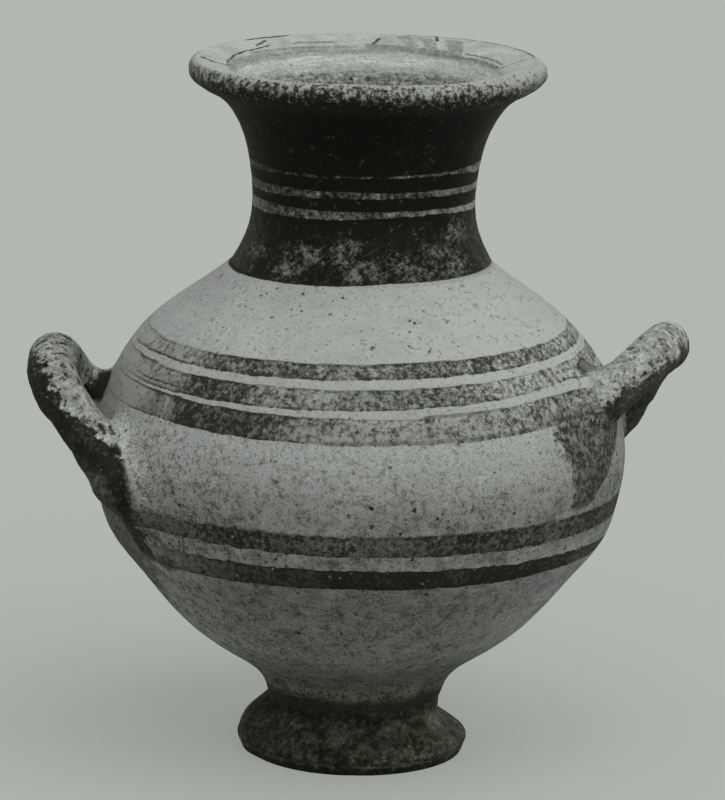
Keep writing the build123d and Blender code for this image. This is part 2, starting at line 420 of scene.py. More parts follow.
@dataclass(frozen=True)
class PotterHand:
    """How uneven the jar is, in millimetres."""

    wobble: float = 1.6
    wobble_width: float = 95.0
    ridge: float = 0.05
    ridge_pitch: float = 8.0
    grit: float = 0.55
    grit_width: float = 4.5
    body_grit_share: float = 0.28
    handle_grit_share: float = 0.8
    ground_grit_share: float = 0.25
    still_below: float = 2.0
    free_above: float = 40.0
    rough_run: float = 6.0
    rough_foot_levels: Point2 = (4.0, -8.0)
    rough_handle_run: float = 8.0
    neck_lean: float = 2.2
    neck_lean_start: float = 60.0
    foot_lean: float = -5.5
    foot_lean_levels: Point3 = (8.0, 23.0, 38.0)
    scoop_core_share: float = 0.35
    scoops: tuple[Scoop, ...] = JAR_SCOOPS

    def move(self, bench: Bench, geometry: bpy.types.NodeSocket) -> bpy.types.NodeSocket:
        """Add the nodes that move each point by the unevenness at its place.

        Args:
            bench: The geometry tree.
            geometry: What is moved.

        Returns:
            The moved geometry.
        """
        position = bench.node("GeometryNodeInputPosition")
        place = position * (1 / MM)
        x, y, z = place.split()
        from_axis = place.stretched((1.0, 1.0, 0.0))
        off_ground = z.rises(self.still_below, self.free_above)

        wide = bench.stray(place, self.wobble_width, 1.0)
        sway = wide * (off_ground * (2 * self.wobble))

        fine = bench.stray(bench.shifted(place, 3), self.grit_width, 3.0)
        rough_lip = z.rises(LIP_JOIN - self.rough_run, LIP_JOIN + self.rough_run)
        smooth_at, rough_at = self.rough_foot_levels
        rough_foot = z.rises(FOOT_TOP + smooth_at, FOOT_TOP + rough_at)
        past_belly = from_axis.length().rises(BELLY_RADIUS, BELLY_RADIUS + self.rough_handle_run)
        rough_handles = past_belly * self.handle_grit_share
        roughness = (rough_lip + rough_foot + rough_handles) * (1 - self.body_grit_share)
        roughness = roughness + self.body_grit_share
        gritty = roughness * off_ground.most(self.ground_grit_share)
        pitted = fine * (gritty * (2 * self.grit))

        turn = bench.node("ShaderNodeMath", {"operation": "ARCTAN2"}, {0: x, 1: y * -1.0})
        ridges = (z * (2 * math.pi / self.ridge_pitch) + turn).sine() * self.ridge
        thrown = from_axis.unit() * (ridges * off_ground)

        toe, middle, waist = self.foot_lean_levels
        lean = z.rises(NECK_BASE - self.neck_lean_start, JAR_TOP) * self.neck_lean
        lean = lean + z.rises(toe, middle) * z.rises(waist, middle) * self.foot_lean

        offset = sway + pitted + thrown + lean.along((1.0, 0.0, 0.0))
        for scoop in self.scoops:
            core = self.scoop_core_share * scoop.radius
            depth = place.distance(scoop.centre).rises(scoop.radius, core) * scoop.depth
            offset = offset + depth.along(tuple(Vector(scoop.inward).normalized()))
        return bench.node("GeometryNodeSetPosition", {}, {"Geometry": geometry, "Offset": offset * MM})


# Geometry trees


class ShapeTree:
    """A Geometry Nodes tree with named inputs that turns a drawn outline or path into a piece."""

    def __init__(self, name: str) -> None:
        """Start a tree that takes geometry and gives geometry back.

        Args:
            name: The tree's name.
        """
        self.tree = bpy.data.node_groups.new(name, "GeometryNodeTree")
        self.tree.is_modifier = True
        self.bench = Bench(self.tree)
        self.interface = self.tree.interface
        self.interface.new_socket("Geometry", in_out="INPUT", socket_type="NodeSocketGeometry")
        self.interface.new_socket("Geometry", in_out="OUTPUT", socket_type="NodeSocketGeometry")
        self.inputs: dict[str, str] = {}

    def takes(self, name: str, kind: str) -> None:
        """Add a named input of a kind, such as "Float"."""
        socket = self.interface.new_socket(name, in_out="INPUT", socket_type="NodeSocket" + kind)
        self.inputs[name] = socket.identifier

    def source(self) -> bpy.types.Node:
        """The node that holds the tree's inputs."""
        return self.bench.raw("NodeGroupInput", {}, {})

    def close(self, geometry: bpy.types.NodeSocket, material: bpy.types.NodeSocket, crease: float) -> None:
        """End the tree: shade it smooth but for its creases, realize it and give it its material.

        Args:
            geometry: The finished shape.
            material: The input that holds its material.
            crease: The angle in degrees past which an edge stays sharp.
        """
        bench = self.bench
        angle = bench.node("GeometryNodeInputMeshEdgeAngle")
        folded = {0: angle, 1: math.radians(crease)}
        sharp = bench.node("FunctionNodeCompare", {"data_type": "FLOAT"}, folded)
        smooth = bench.node("GeometryNodeSetShadeSmooth", {"domain": "FACE"}, {"Geometry": geometry})
        creased = bench.node(
            "GeometryNodeSetShadeSmooth",
            {"domain": "EDGE"},
            {"Geometry": smooth, "Selection": sharp, "Shade Smooth": False},
        )
        real = bench.node("GeometryNodeRealizeInstances", {}, {"Geometry": creased})
        dressed = bench.node("GeometryNodeSetMaterial", {}, {"Geometry": real, "Material": material})
        bench.raw("NodeGroupOutput", {}, {"Geometry": dressed})


def thrown_tree(hand: PotterHand) -> ShapeTree:
    """The tree that throws a closed outline round the axis.

    Args:
        hand: The unevenness that every piece gets.

    Returns:
        The tree. Its inputs are Turns, the number of facets round the axis, and Material.
    """
    shape = ShapeTree("thrown_wall")
    shape.takes("Turns", "Int")
    shape.takes("Material", "Material")
    source = shape.source()
    bench = shape.bench
    outline = bench.node("GeometryNodeMeshToCurve", {}, {"Mesh": source.outputs["Geometry"]})
    wheel = bench.node(
        "GeometryNodeCurvePrimitiveCircle",
        {},
        {"Resolution": source.outputs["Turns"], "Radius": WHEEL_RADIUS * MM},
    )
    swept = {"Curve": wheel, "Profile Curve": outline, "Scale": 1.0}
    wall = bench.node("GeometryNodeCurveToMesh", {}, swept)
    closed = bench.node("GeometryNodeMergeByDistance", {}, {"Geometry": wall, "Distance": CLOSING * MM})
    shape.close(hand.move(bench, closed), source.outputs["Material"], THROWN_CREASE)
    return shape


def bar_tree(hand: PotterHand) -> ShapeTree:
    """The tree that runs an oval bar along a path.

    Args:
        hand: The unevenness that every piece gets.

    Returns:
        The tree. Its inputs are Width, Thickness, Sides and Material.
    """
    shape = ShapeTree("bent_bar")
    shape.takes("Width", "Float")
    shape.takes("Thickness", "Float")
    shape.takes("Sides", "Int")
    shape.takes("Material", "Material")
    source = shape.source()
    bench = shape.bench
    path = bench.node("GeometryNodeMeshToCurve", {}, {"Mesh": source.outputs["Geometry"]})
    sides = {"Resolution": source.outputs["Sides"], "Radius": 0.5}
    ring = bench.node("GeometryNodeCurvePrimitiveCircle", {}, sides)
    across = bench.node(
        "ShaderNodeCombineXYZ",
        {},
        {"X": source.outputs["Width"], "Y": source.outputs["Thickness"], "Z": 1.0},
    )
    oval = bench.node("GeometryNodeTransform", {}, {"Geometry": ring, "Scale": across})
    bar = bench.node(
        "GeometryNodeCurveToMesh",
        {},
        {"Curve": path, "Profile Curve": oval, "Scale": 1.0, "Fill Caps": True},
    )
    shape.close(hand.move(bench, bar), source.outputs["Material"], BAR_CREASE)
    return shape


def clay_tree(hand: PotterHand) -> ShapeTree:
    """The tree that presses clay round a root, so that the bar runs smoothly into the wall.

    The tree's geometry is the bar's centre line. The clay is the part of the smooth union of bar
    and pot that lies round the heel, and it dips just under both where it has thinned out.

    Args:
        hand: The unevenness that every piece gets.

    Returns:
        The tree. Its inputs are Core Outline, Half Width, Half Thickness, Blend, Heel, Reach,
        Low, High, Steps and Material.
    """
    shape = ShapeTree("pressed_clay")
    shape.takes("Core Outline", "Object")
    for name in ("Half Width", "Half Thickness", "Blend", "Reach"):
        shape.takes(name, "Float")
    for name in ("Heel", "Low", "High"):
        shape.takes(name, "Vector")
    shape.takes("Steps", "Int")
    shape.takes("Material", "Material")
    source = shape.source()
    bench = shape.bench

    def given(name: str) -> Any:
        """One of the tree's inputs."""
        return bench.wrap(source.outputs[name])

    place = bench.node("GeometryNodeInputPosition") * (1 / MM)
    *_, z = place.split()
    edges = {"target_element": "EDGES"}
    on_line = bench.node("GeometryNodeProximity", edges, {0: source.outputs["Geometry"]}, "Position")
    offset = place - on_line * (1 / MM)
    across, *_ = offset.split()
    away = offset.length()
    beside = (away * away - across * across).most(0.0) ** 0.5
    oval = ((across / given("Half Width")) ** 2 + (beside / given("Half Thickness")) ** 2) ** 0.5
    bar = (oval - 1.0) * given("Half Thickness") + CLAY_SINK

    from_axis = place.stretched((1.0, 1.0, 0.0)).length()
    section = bench.node("ShaderNodeCombineXYZ", {}, {"X": from_axis * MM, "Y": z * MM})
    core = bench.node("GeometryNodeObjectInfo", {}, {"Object": source.outputs["Core Outline"]}, "Geometry")
    to_core = bench.node("GeometryNodeProximity", edges, {0: core, "Sample Position": section}, "Distance")
    pot = to_core * (1 / MM) - CORE_DEPTH + CLAY_SINK

    blend = given("Blend")
    share = ((pot - bar) / blend * 0.5 + 0.5).most(0.0).least(1.0)
    fillet = share * (1 - share)
    lumps = (bench.grain(place, LUMP_WIDTH, 5) - 0.5) * fillet * LUMP
    union = pot.towards(bar, share) - blend * fillet + lumps
    outer = union.most((pot + CLAY_ROOT_DEPTH) * -1.0)
    ball = place.distance(given("Heel")) - given("Reach")
    solid = outer.most(ball)
    box = {"Min": given("Low") * MM, "Max": given("High") * MM}
    steps = {f"Resolution {axis}": source.outputs["Steps"] for axis in "XYZ"}
    filled = {"Density": solid * -1.0, "Background": -10.0}
    cloud = bench.node("GeometryNodeVolumeCube", {}, {**filled, **box, **steps})
    skin = bench.node("GeometryNodeVolumeToMesh", {}, {"Volume": cloud, "Threshold": 0.0})
    shape.close(hand.move(bench, skin), source.outputs["Material"], CLAY_CREASE)
    return shape


# Making and keeping pieces


def new_object(name: str, points: Any, edges: Any, faces: Any) -> bpy.types.Object:
    """An object in the scene from points in millimetres.

    Args:
        name: The object's name.
        points: Its vertices.
        edges: Its loose edges.
        faces: Its faces.

    Returns:
        The object.
    """
    mesh = bpy.data.meshes.new(name)
    mesh.from_pydata([Vector(point) * MM for point in points], edges, faces)
    made = bpy.data.objects.new(name, mesh)
    bpy.context.scene.collection.objects.link(made)
    return made


def chain(count: int) -> list[tuple[int, int]]:
    """The edges that join points in a row."""
    return [(i, i + 1) for i in range(count - 1)]


@dataclass
class Workshop:
    """The shape trees, and what is done with a piece once its outline or path is drawn."""

    hand: PotterHand
    wall: "PotWall"
    bar_sides: int = 96

    def __post_init__(self) -> None:
        """Draw the line in the wall that the pressed clay is measured from, and make the trees."""
        points = [(radius, height, 0.0) for radius, height in self.wall.behind(CORE_DEPTH)]
        self.core = new_object("core_outline", points, chain(len(points)), [])
        self.thrown = thrown_tree(self.hand)
        self.bar = bar_tree(self.hand)
        self.pressed = clay_tree(self.hand)

    def clear(self) -> None:
        """Take the core's outline away once every root has its clay."""
        bpy.data.objects.remove(self.core)

    def shape(self, piece: bpy.types.Object, tree: ShapeTree, values: dict[str, Any]) -> None:
        """Run a tree on a piece and leave its result as the piece's plain mesh.

        Args:
            piece: The object that holds the outline, path or surface.
            tree: The tree.
            values: The tree's inputs, by name.
        """
        modifier = piece.modifiers.new(tree.tree.name, "NODES")
        modifier.node_group = tree.tree
        for name, value in values.items():
            modifier[tree.inputs[name]] = value
        graph = bpy.context.evaluated_depsgraph_get()
        finished = bpy.data.meshes.new_from_object(piece.evaluated_get(graph), depsgraph=graph)
        piece.modifiers.remove(modifier)
        drawn = piece.data
        piece.data = finished
        bpy.data.meshes.remove(drawn)
        finished.name = piece.name
        turn_outwards(finished)

    def throw(
        self,
        name: str,
        outline: Sequence[Point2],
        turns: int,
        finish: "Finish",
    ) -> bpy.types.Object:
        """A piece thrown on the wheel.

        Args:
            name: The piece's name.
            outline: Its closed section, as radius and height.
            turns: How many facets it has round the axis.
            finish: Its finish.

        Returns:
            The piece.
        """
        points = [(radius - WHEEL_RADIUS, -height, 0.0) for radius, height in outline]
        edges = [(i, (i + 1) % len(points)) for i in range(len(points))]
        piece = new_object(name, points, edges, [])
        self.shape(piece, self.thrown, {"Turns": turns, "Material": finish.material()})
        return piece

    def bend(
        self,
        name: str,
        path: np.ndarray,
        width: float,
        thickness: float,
        finish: "Finish",
    ) -> bpy.types.Object:
        """A bar bent along a path.

        Args:
            name: The piece's name.
            path: Points of its centre line.
            width: Its width.
            thickness: Its thickness.
            finish: Its finish.

        Returns:
            The piece.
        """
        piece = new_object(name, path, chain(len(path)), [])
        oval = {"Width": width * MM, "Thickness": thickness * MM, "Sides": self.bar_sides}
        self.shape(piece, self.bar, oval | {"Material": finish.material()})
        return piece

    def press(self, name: str, path: np.ndarray, clay: "PressedClay", finish: "Finish") -> bpy.types.Object:
        """Clay pressed round a root by hand.

        Args:
            name: The piece's name.
            path: The centre line of its handle.
            clay: Where it goes and how thick it is.
            finish: Its finish.

        Returns:
            The piece.
        """
        piece = new_object(name, path, chain(len(path)), [])
        self.shape(piece, self.pressed, clay.values(self.core) | {"Material": finish.material()})
        return piece


def turn_outwards(mesh: bpy.types.Mesh) -> None:
    """Turn a closed mesh's faces outwards if they all point inwards.

    Args:
        mesh: The mesh.
    """
    points = np.empty(len(mesh.vertices) * 3)
    mesh.vertices.foreach_get("co", points)
    points = points.reshape(-1, 3)
    mesh.calc_loop_triangles()
    corners = np.empty(len(mesh.loop_triangles) * 3, dtype=np.int32)
    mesh.loop_triangles.foreach_get("vertices", corners)
    first, second, third = (points[corners.reshape(-1, 3)[:, i]] for i in range(3))
    if np.einsum("ij,ij->i", first, np.cross(second, third)).sum() < 0:
        mesh.flip_normals()


def keep(piece: bpy.types.Object, node: str) -> None:
    """Let a finished piece stand for its CAD node.

    Args:
        piece: The piece.
        node: The node that it replaces.
    """
    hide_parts(node)
    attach(piece, BODY)
    log.info("%s: %d faces", piece.name, len(piece.data.polygons))


# Outlines


def spline_through(points: Any, spacing: float) -> np.ndarray:
    """A natural cubic spline, in as many dimensions as its points have.

    Args:
        points: What it passes through.
        spacing: How far apart the points of the result are.

    Returns:
        Evenly spaced points of the spline.
    """
    knots = np.array(points, dtype=float)
    steps = np.linalg.norm(np.diff(knots, axis=0), axis=1)
    along = np.concatenate([[0.0], np.cumsum(steps)])
    last = len(knots) - 1
    matrix = np.eye(last + 1)
    pull = np.zeros_like(knots)
    for i in range(1, last):
        matrix[i, i - 1 : i + 2] = steps[i - 1], 2 * (steps[i - 1] + steps[i]), steps[i]
        pull[i] = 6 * ((knots[i + 1] - knots[i]) / steps[i] - (knots[i] - knots[i - 1]) / steps[i - 1])
    bend = np.linalg.solve(matrix, pull)
    stations = np.linspace(0.0, along[-1], max(2, round(along[-1] / spacing)) + 1)
    left = np.clip(np.searchsorted(along, stations, side="right") - 1, 0, last - 1)
    after = ((stations - along[left]) / steps[left])[:, None]
    before = 1 - after
    swell = (before**3 - before) * bend[left] + (after**3 - after) * bend[left + 1]
    return before * knots[left] + after * knots[left + 1] + swell * (steps[left] ** 2)[:, None] / 6


def evenly(points: Any, spacing: float) -> np.ndarray:
    """A polyline's points, spread evenly at about a spacing.

    Args:
        points: The polyline.
        spacing: The spacing.

    Returns:
        The points.
    """
    line = np.array(points, dtype=float)
    steps = np.linalg.norm(np.diff(line, axis=0), axis=1)
    along = np.concatenate([[0.0], np.cumsum(steps)])
    stations = np.linspace(0.0, along[-1], max(1, round(along[-1] / spacing)) + 1)
    return np.stack([np.interp(stations, along, column) for column in line.T], axis=1)


def between(start: Point2, end: Point2, shares: Sequence[Point2]) -> list[Point2]:
    """Outline points from start to end, each at a share of the rise and one of the radius."""
    out, up = end[0] - start[0], end[1] - start[1]
    return [(start[0] + out * outward, start[1] + up * upward) for upward, outward in shares]


def joined(*stretches: np.ndarray) -> list[Point2]:
    """A closed outline from stretches that each start where the one before ends.

    Args:
        stretches: The stretches, in order.

    Returns:
        The outline, as radius and height.
    """
    points: list[Point2] = []
    for stretch in stretches:
        points += [(float(radius), float(height)) for radius, height in stretch[:-1]]
    return points


@dataclass
class PotWall:
    """The thrown wall from the stem to the lip, as its outer and inner surfaces."""

    stem_radius: float = 53.8
    belly_rise: float = 47.0
    neck_base_radius: float = 81.6
    neck_waist_rise: float = 39.5
    neck_waist_radius: float = 69.1
    thickness: float = 8.0
    floor_thickness: float = 10.0
    throat_join_radius: float = 75.0
    throat_shares: Stops = ((0.25, 0.42), (0.50, 0.70), (0.76, 0.89))
    throat_depth: float = 44.0
    bowl_shares: Stops = ((0.104, 0.046), (0.295, 0.290), (0.436, 0.498), (0.604, 0.674), (0.800, 0.845))
    belly_shares: Stops = ((0.396, 0.590),)
    shoulder_shares: Stops = (
        (0.314, 0.093), (0.473, 0.201), (0.631, 0.362), (0.789, 0.615), (0.921, 0.865),
    )
    neck_foot_shares: Stops = ((0.253, 0.440), (0.633, 0.880))
    neck_flare_shares: Stops = ((0.338, 0.077), (0.596, 0.242), (0.797, 0.491), (0.909, 0.707))

    def __post_init__(self) -> None:
        """Run the outside through its levels, and the inside behind it."""
        stem = (self.stem_radius, FOOT_TOP)
        girdle = (GIRDLE_RADIUS, GIRDLE)
        belly = (BELLY_RADIUS, self.belly_level)
        base = (self.neck_base_radius, NECK_BASE)
        waist = (self.neck_waist_radius, NECK_BASE + self.neck_waist_rise)
        lip = (LIP_JOIN_RADIUS, LIP_JOIN)
        body = [stem, *between(stem, girdle, self.bowl_shares), girdle]
        body += [*between(girdle, belly, self.belly_shares), belly]
        body += [*between(belly, base, self.shoulder_shares), base]
        neck = [base, *between(base, waist, self.neck_foot_shares), waist]
        neck += [*between(waist, lip, self.neck_flare_shares), lip]
        self.body = spline_through(body, FINE)
        self.neck = spline_through(neck, FINE)
        self.outer = np.concatenate([self.body, self.neck[1:]])
        self.inner = self._inner()

    @property
    def belly_level(self) -> float:
        """The height at which the jar is widest."""
        return GIRDLE + self.belly_rise

    def behind(self, depth: float) -> np.ndarray:
        """The line that runs at a depth behind the outside.

        Args:
            depth: The depth.

        Returns:
            Its points, as radius and height.
        """
        parts = []
        for line in (self.body, self.neck):
            along = np.gradient(line, axis=0)
            along /= np.linalg.norm(along, axis=1)[:, None]
            parts.append(line + np.stack([-along[:, 1], along[:, 0]], axis=1) * depth)
        return np.concatenate(parts)

    def _inner(self) -> np.ndarray:
        """The inner surface, one wall thickness behind the outer one.

        Returns:
            Its points, as radius and height, from the floor up.
        """
        floor_edge = (self.stem_radius - self.floor_thickness, FOOT_TOP + self.floor_thickness)
        behind = self.behind(self.thickness)
        throat_foot = LIP_JOIN - self.throat_depth
        inside = (behind[:, 1] > floor_edge[1] + self.floor_thickness) & (behind[:, 1] < throat_foot)
        rising = behind[inside]
        rising = rising[np.argsort(rising[:, 1])]
        join = (self.throat_join_radius, LIP_JOIN)
        funnel = [join, *between(join, tuple(rising[-1]), self.throat_shares)]
        return np.concatenate([[floor_edge], rising, funnel[::-1]])

    def radius_at(self, level: Any) -> Any:
        """Outside radius at a level or at many."""
        return np.interp(level, self.outer[:, 1], self.outer[:, 0])

    @staticmethod
    def stretch(line: np.ndarray, low: float, high: float, spacing: float) -> np.ndarray:
        """The part of a rising line between two levels, evenly spaced.

        Args:
            line: The line.
            low: The lower level.
            high: The upper level.
            spacing: How far apart the points are.

        Returns:
            The points.
        """
        within = (line[:, 1] > low) & (line[:, 1] < high)
        ends = [(np.interp(level, line[:, 1], line[:, 0]), level) for level in (low, high)]
        return evenly(np.concatenate([[ends[0]], line[within], [ends[1]]]), spacing)

    def ring(self, low: float, high: float, inner_spacing: float) -> list[Point2]:
        """The closed section of the wall between two joins.

        Args:
            low: The lower join.
            high: The upper join.
            inner_spacing: How far apart the inside's points are.

        Returns:
            The section, as radius and height.
        """
        outside = self.stretch(self.outer, low, high, OUTSIDE_STEP)
        inside = self.stretch(self.inner, low, high, inner_spacing)[::-1]
        top = evenly([outside[-1], inside[0]], JOIN_STEP)
        bottom = evenly([inside[-1], outside[0]], JOIN_STEP)
        return joined(outside, top, inside, bottom)

    def bowl(self, inner_spacing: float) -> list[Point2]:
        """The closed section of the lower body, with its floor.

        Args:
            inner_spacing: How far apart the inside's points are.

        Returns:
            The section, as radius and height.
        """
        outside = self.stretch(self.outer, FOOT_TOP, GIRDLE, OUTSIDE_STEP)
        inside = self.stretch(self.inner, self.inner[0][1], GIRDLE, inner_spacing)[::-1]
        top = evenly([outside[-1], inside[0]], JOIN_STEP)
        floor = evenly([inside[-1], (0.0, self.inner[0][1])], inner_spacing)
        axis = np.array([floor[-1], (0.0, FOOT_TOP)])
        seat = evenly([axis[-1], outside[0]], inner_spacing)
        return joined(outside, top, inside, floor, axis, seat)


@dataclass
class Foot:
    """The bell-shaped foot, hollow underneath."""

    edge_set_in: float = 3.2
    ring_width: float = 10.0
    recess_top_radius: float = 38.0
    recess_swell: float = 4.0
    recess_swell_share: float = 0.45
    toe_rise: float = 8.0
    edge_corner: Point2 = (1.0, 2.2)
    toe_corner: Point2 = (-1.3, 5.0)
    turns: int = 448
    bell_shares: Stops = (
        (0, 0), (0.071, 0.012), (0.161, 0.124), (0.271, 0.266), (0.386, 0.45), (0.496, 0.598),
        (0.607, 0.698), (0.718, 0.805), (0.829, 0.893), (0.921, 0.964), (1, 1),
    )

    def outline(self, wall: PotWall) -> list[Point2]:
        """The closed section of the foot.

        Args:
            wall: The jar's wall.

        Returns:
            The section, as radius and height.
        """
        edge = (TOE_RADIUS - self.edge_set_in, 0.0)
        toe = (TOE_RADIUS, self.toe_rise)
        stem = (wall.stem_radius, FOOT_TOP)
        corners = [(edge[0] + self.edge_corner[0], self.edge_corner[1])]
        corners += [(toe[0] + self.toe_corner[0], self.toe_corner[1])]
        bell = spline_through([edge, *corners, *between(toe, stem, self.bell_shares)], OUTSIDE_STEP)
        ring_inner = (edge[0] - self.ring_width, 0.0)
        recess_top = (self.recess_top_radius, FOOT_TOP)
        middle = (ring_inner[0] + recess_top[0]) / 2
        swell = (middle + self.recess_swell, FOOT_TOP * self.recess_swell_share)
        recess = spline_through([recess_top, swell, ring_inner], 2 * OUTSIDE_STEP)
        seat = evenly([stem, recess_top], JOIN_STEP)
        ground = evenly([ring_inner, edge], OUTSIDE_STEP)
        return joined(bell, seat, recess, ground)

    def build(self, shop: Workshop, wall: PotWall, finish: "Finish") -> None:
        """Throw the foot and keep it."""
        keep(shop.throw("foot_thrown", self.outline(wall), self.turns, finish), "foot")


@dataclass
class Lip:
    """The heavy rounded lip, whose top slopes into the throat."""

    throat_edge_radius: float = 85.0
    throat_edge_drop: float = 5.8
    crest_corner: Point2 = (-3.0, -0.5)
    edge_corners: tuple[Point2, ...] = ((4.0, 1.2), (-0.6, -1.4), (-5.0, -7.6))
    turns: int = 576
    outside_shares: Stops = (
        (0.12, 0.33), (0.27, 0.67), (0.42, 0.9), (0.6, 1), (0.8, 0.95), (0.94, 0.8), (1, 0.6),
    )

    def outline(self, wall: PotWall) -> list[Point2]:
        """The closed section of the lip.

        Args:
            wall: The jar's wall.

        Returns:
            The section, as radius and height.
        """
        join = (LIP_JOIN_RADIUS, LIP_JOIN)
        rise = between(join, (LIP_RADIUS, JAR_TOP), self.outside_shares)
        outside = spline_through([join, *rise], LIP_STEP)
        crest = outside[-1]
        edge = (self.throat_edge_radius, JAR_TOP - self.throat_edge_drop)
        throat = (wall.throat_join_radius, LIP_JOIN)
        top = (crest[0] + self.crest_corner[0], JAR_TOP + self.crest_corner[1])
        corners = [(edge[0] + inward, edge[1] + down) for inward, down in self.edge_corners]
        inside = spline_through([crest, top, *corners, throat], LIP_STEP)
        seat = evenly([throat, join], JOIN_STEP)
        return joined(outside, inside, seat)

    def build(self, shop: Workshop, wall: PotWall, finish: "Finish") -> None:
        """Throw the lip and keep it."""
        keep(shop.throw("lip_thrown", self.outline(wall), self.turns, finish), "lip")


@dataclass
class Body:
    """The two thrown halves of the body and the neck."""

    body_turns: int = 544
    neck_turns: int = 480
    hidden_step: float = 7.0
    throat_step: float = 2.4

    def build(self, shop: Workshop, wall: PotWall, banded: "Finish", neck_slip: "Finish") -> None:
        """Throw the bowl, the upper body and the neck, and keep them.

        Args:
            shop: The workshop.
            wall: The jar's wall.
            banded: The body's finish.
            neck_slip: The neck's.
        """
        bowl = wall.bowl(self.hidden_step)
        keep(shop.throw("lower_body_thrown", bowl, self.body_turns, banded), "lower_body")
        upper = wall.ring(GIRDLE, NECK_BASE, self.hidden_step)
        keep(shop.throw("upper_body_thrown", upper, self.body_turns, banded), "upper_body")
        neck = wall.ring(NECK_BASE, LIP_JOIN, self.throat_step)
        keep(shop.throw("neck_thrown", neck, self.neck_turns, neck_slip), "neck")


# Handles


def bent_run(corners: Sequence[Vector], bends: Sequence[float], spacing: float) -> np.ndarray:
    """A path through corners, with an arc at each inner one.

    Args:
        corners: The corners.
        bends: The radius of each inner corner's arc.
        spacing: How far apart the result's points are.

    Returns:
        Evenly spaced points of the path.
    """
    points = [corners[0]]
    for before, corner, after, bend in zip(corners, corners[1:], corners[2:], bends):
        back = (before - corner).normalized()
        on = (after - corner).normalized()
        half = back.angle(on) / 2
        reach = bend / math.tan(half)
        centre = corner + (back + on).normalized() * (bend / math.sin(half))
        start = corner + back * reach - centre
        end = corner + on * reach - centre
        points += [centre + start.slerp(end, i / ARC_STEPS) * bend for i in range(ARC_STEPS + 1)]
    points.append(corners[-1])
    return evenly(points, spacing)


@dataclass(frozen=True)
class Root:
    """Where one end of a carrying handle is pressed on: degrees round from the side, and its lift."""

    depth: Depth
    angle: float
    lift: float

    def point(self, side: Side, wall: PotWall, stand: float) -> Vector:
        """A point at the root.

        Args:
            side: The handle's side.
            wall: The jar's wall.
            stand: How far the point stands off the wall.

        Returns:
            The point.
        """
        level = wall.belly_level + self.lift
        radius = float(wall.radius_at(level)) + stand
        turn = math.radians(self.angle)
        across, back = side.value * radius, self.depth.value * radius
        return Vector((across * math.cos(turn), back * math.sin(turn), level))


@dataclass
class PressedClay:
    """Clay pressed round one root of a handle and smeared out over the wall."""

    heel: Vector
    half_width: float
    half_thickness: float
    blend: float = 20.0
    reach: float = 58.0
    spacing: float = 1.3

    def values(self, core: bpy.types.Object) -> dict[str, Any]:
        """The inputs of the clay's tree.

        Args:
            core: The line that its depth is measured from.

        Returns:
            The inputs, by name.
        """
        corner = Vector((self.reach, self.reach, self.reach))
        return {
            "Core Outline": core,
            "Half Width": self.half_width,
            "Half Thickness": self.half_thickness,
            "Blend": self.blend,
            "Reach": self.reach,
            "Heel": self.heel,
            "Low": self.heel - corner,
            "High": self.heel + corner,
            "Steps": round(2 * self.reach / self.spacing),
        }


@dataclass
class CarryingHandle:
    """A rolled bar bent outwards and up, pressed on to the belly by hand."""

    side: Side
    near: Root
    far: Root
    bar_diameter: float
    crown_lift: float
    crown_setback: float
    crown_bend: float = 33.0
    heel_bend: float = 23.0
    heel_stand: float = 5.0
    crown_width_share: float = 0.36
    buried: float = 12.0

    def path(self, wall: PotWall) -> np.ndarray:
        """The bar's centre line, from its near end in the wall to its far one.

        Args:
            wall: The jar's wall.

        Returns:
            Its points.
        """
        stands = (-self.buried, self.heel_stand)
        near_end, near_heel = (self.near.point(self.side, wall, stand) for stand in stands)
        far_end, far_heel = (self.far.point(self.side, wall, stand) for stand in stands)
        span = far_heel - near_heel
        half_width = Vector((0.0, span.y, span.z)) * (self.crown_width_share / 2)
        reach = self.side.value * (HANDLE_REACH - self.bar_diameter / 2)
        middle_y = (near_heel.y + far_heel.y) / 2
        crown = Vector((reach, middle_y + self.crown_setback, wall.belly_level + self.crown_lift))
        corners = [near_end, near_heel, crown - half_width, crown + half_width, far_heel, far_end]
        bends = (self.heel_bend, self.crown_bend, self.crown_bend, self.heel_bend)
        return bent_run(corners, bends, BAR_STEP)

    def build(self, shop: Workshop, wall: PotWall, slip: "Finish", clay_slip: "Finish") -> None:
        """Bend the bar, press clay round its roots, and keep the three pieces.

        Args:
            shop: The workshop.
            wall: The jar's wall.
            slip: The bar's finish.
            clay_slip: The clay's.
        """
        side = self.side.name.lower()
        path = self.path(wall)
        bar = shop.bend(f"{side}_bar", path, self.bar_diameter, self.bar_diameter, slip)
        keep(bar, f"{side}_handle")
        half = self.bar_diameter / 2
        for root in (self.near, self.far):
            node = f"{side}_{root.depth.name.lower()}_root_clay"
            clay = PressedClay(root.point(self.side, wall, 0.0), half, half)
            keep(shop.press(node + "_pressed", path, clay, clay_slip), node)


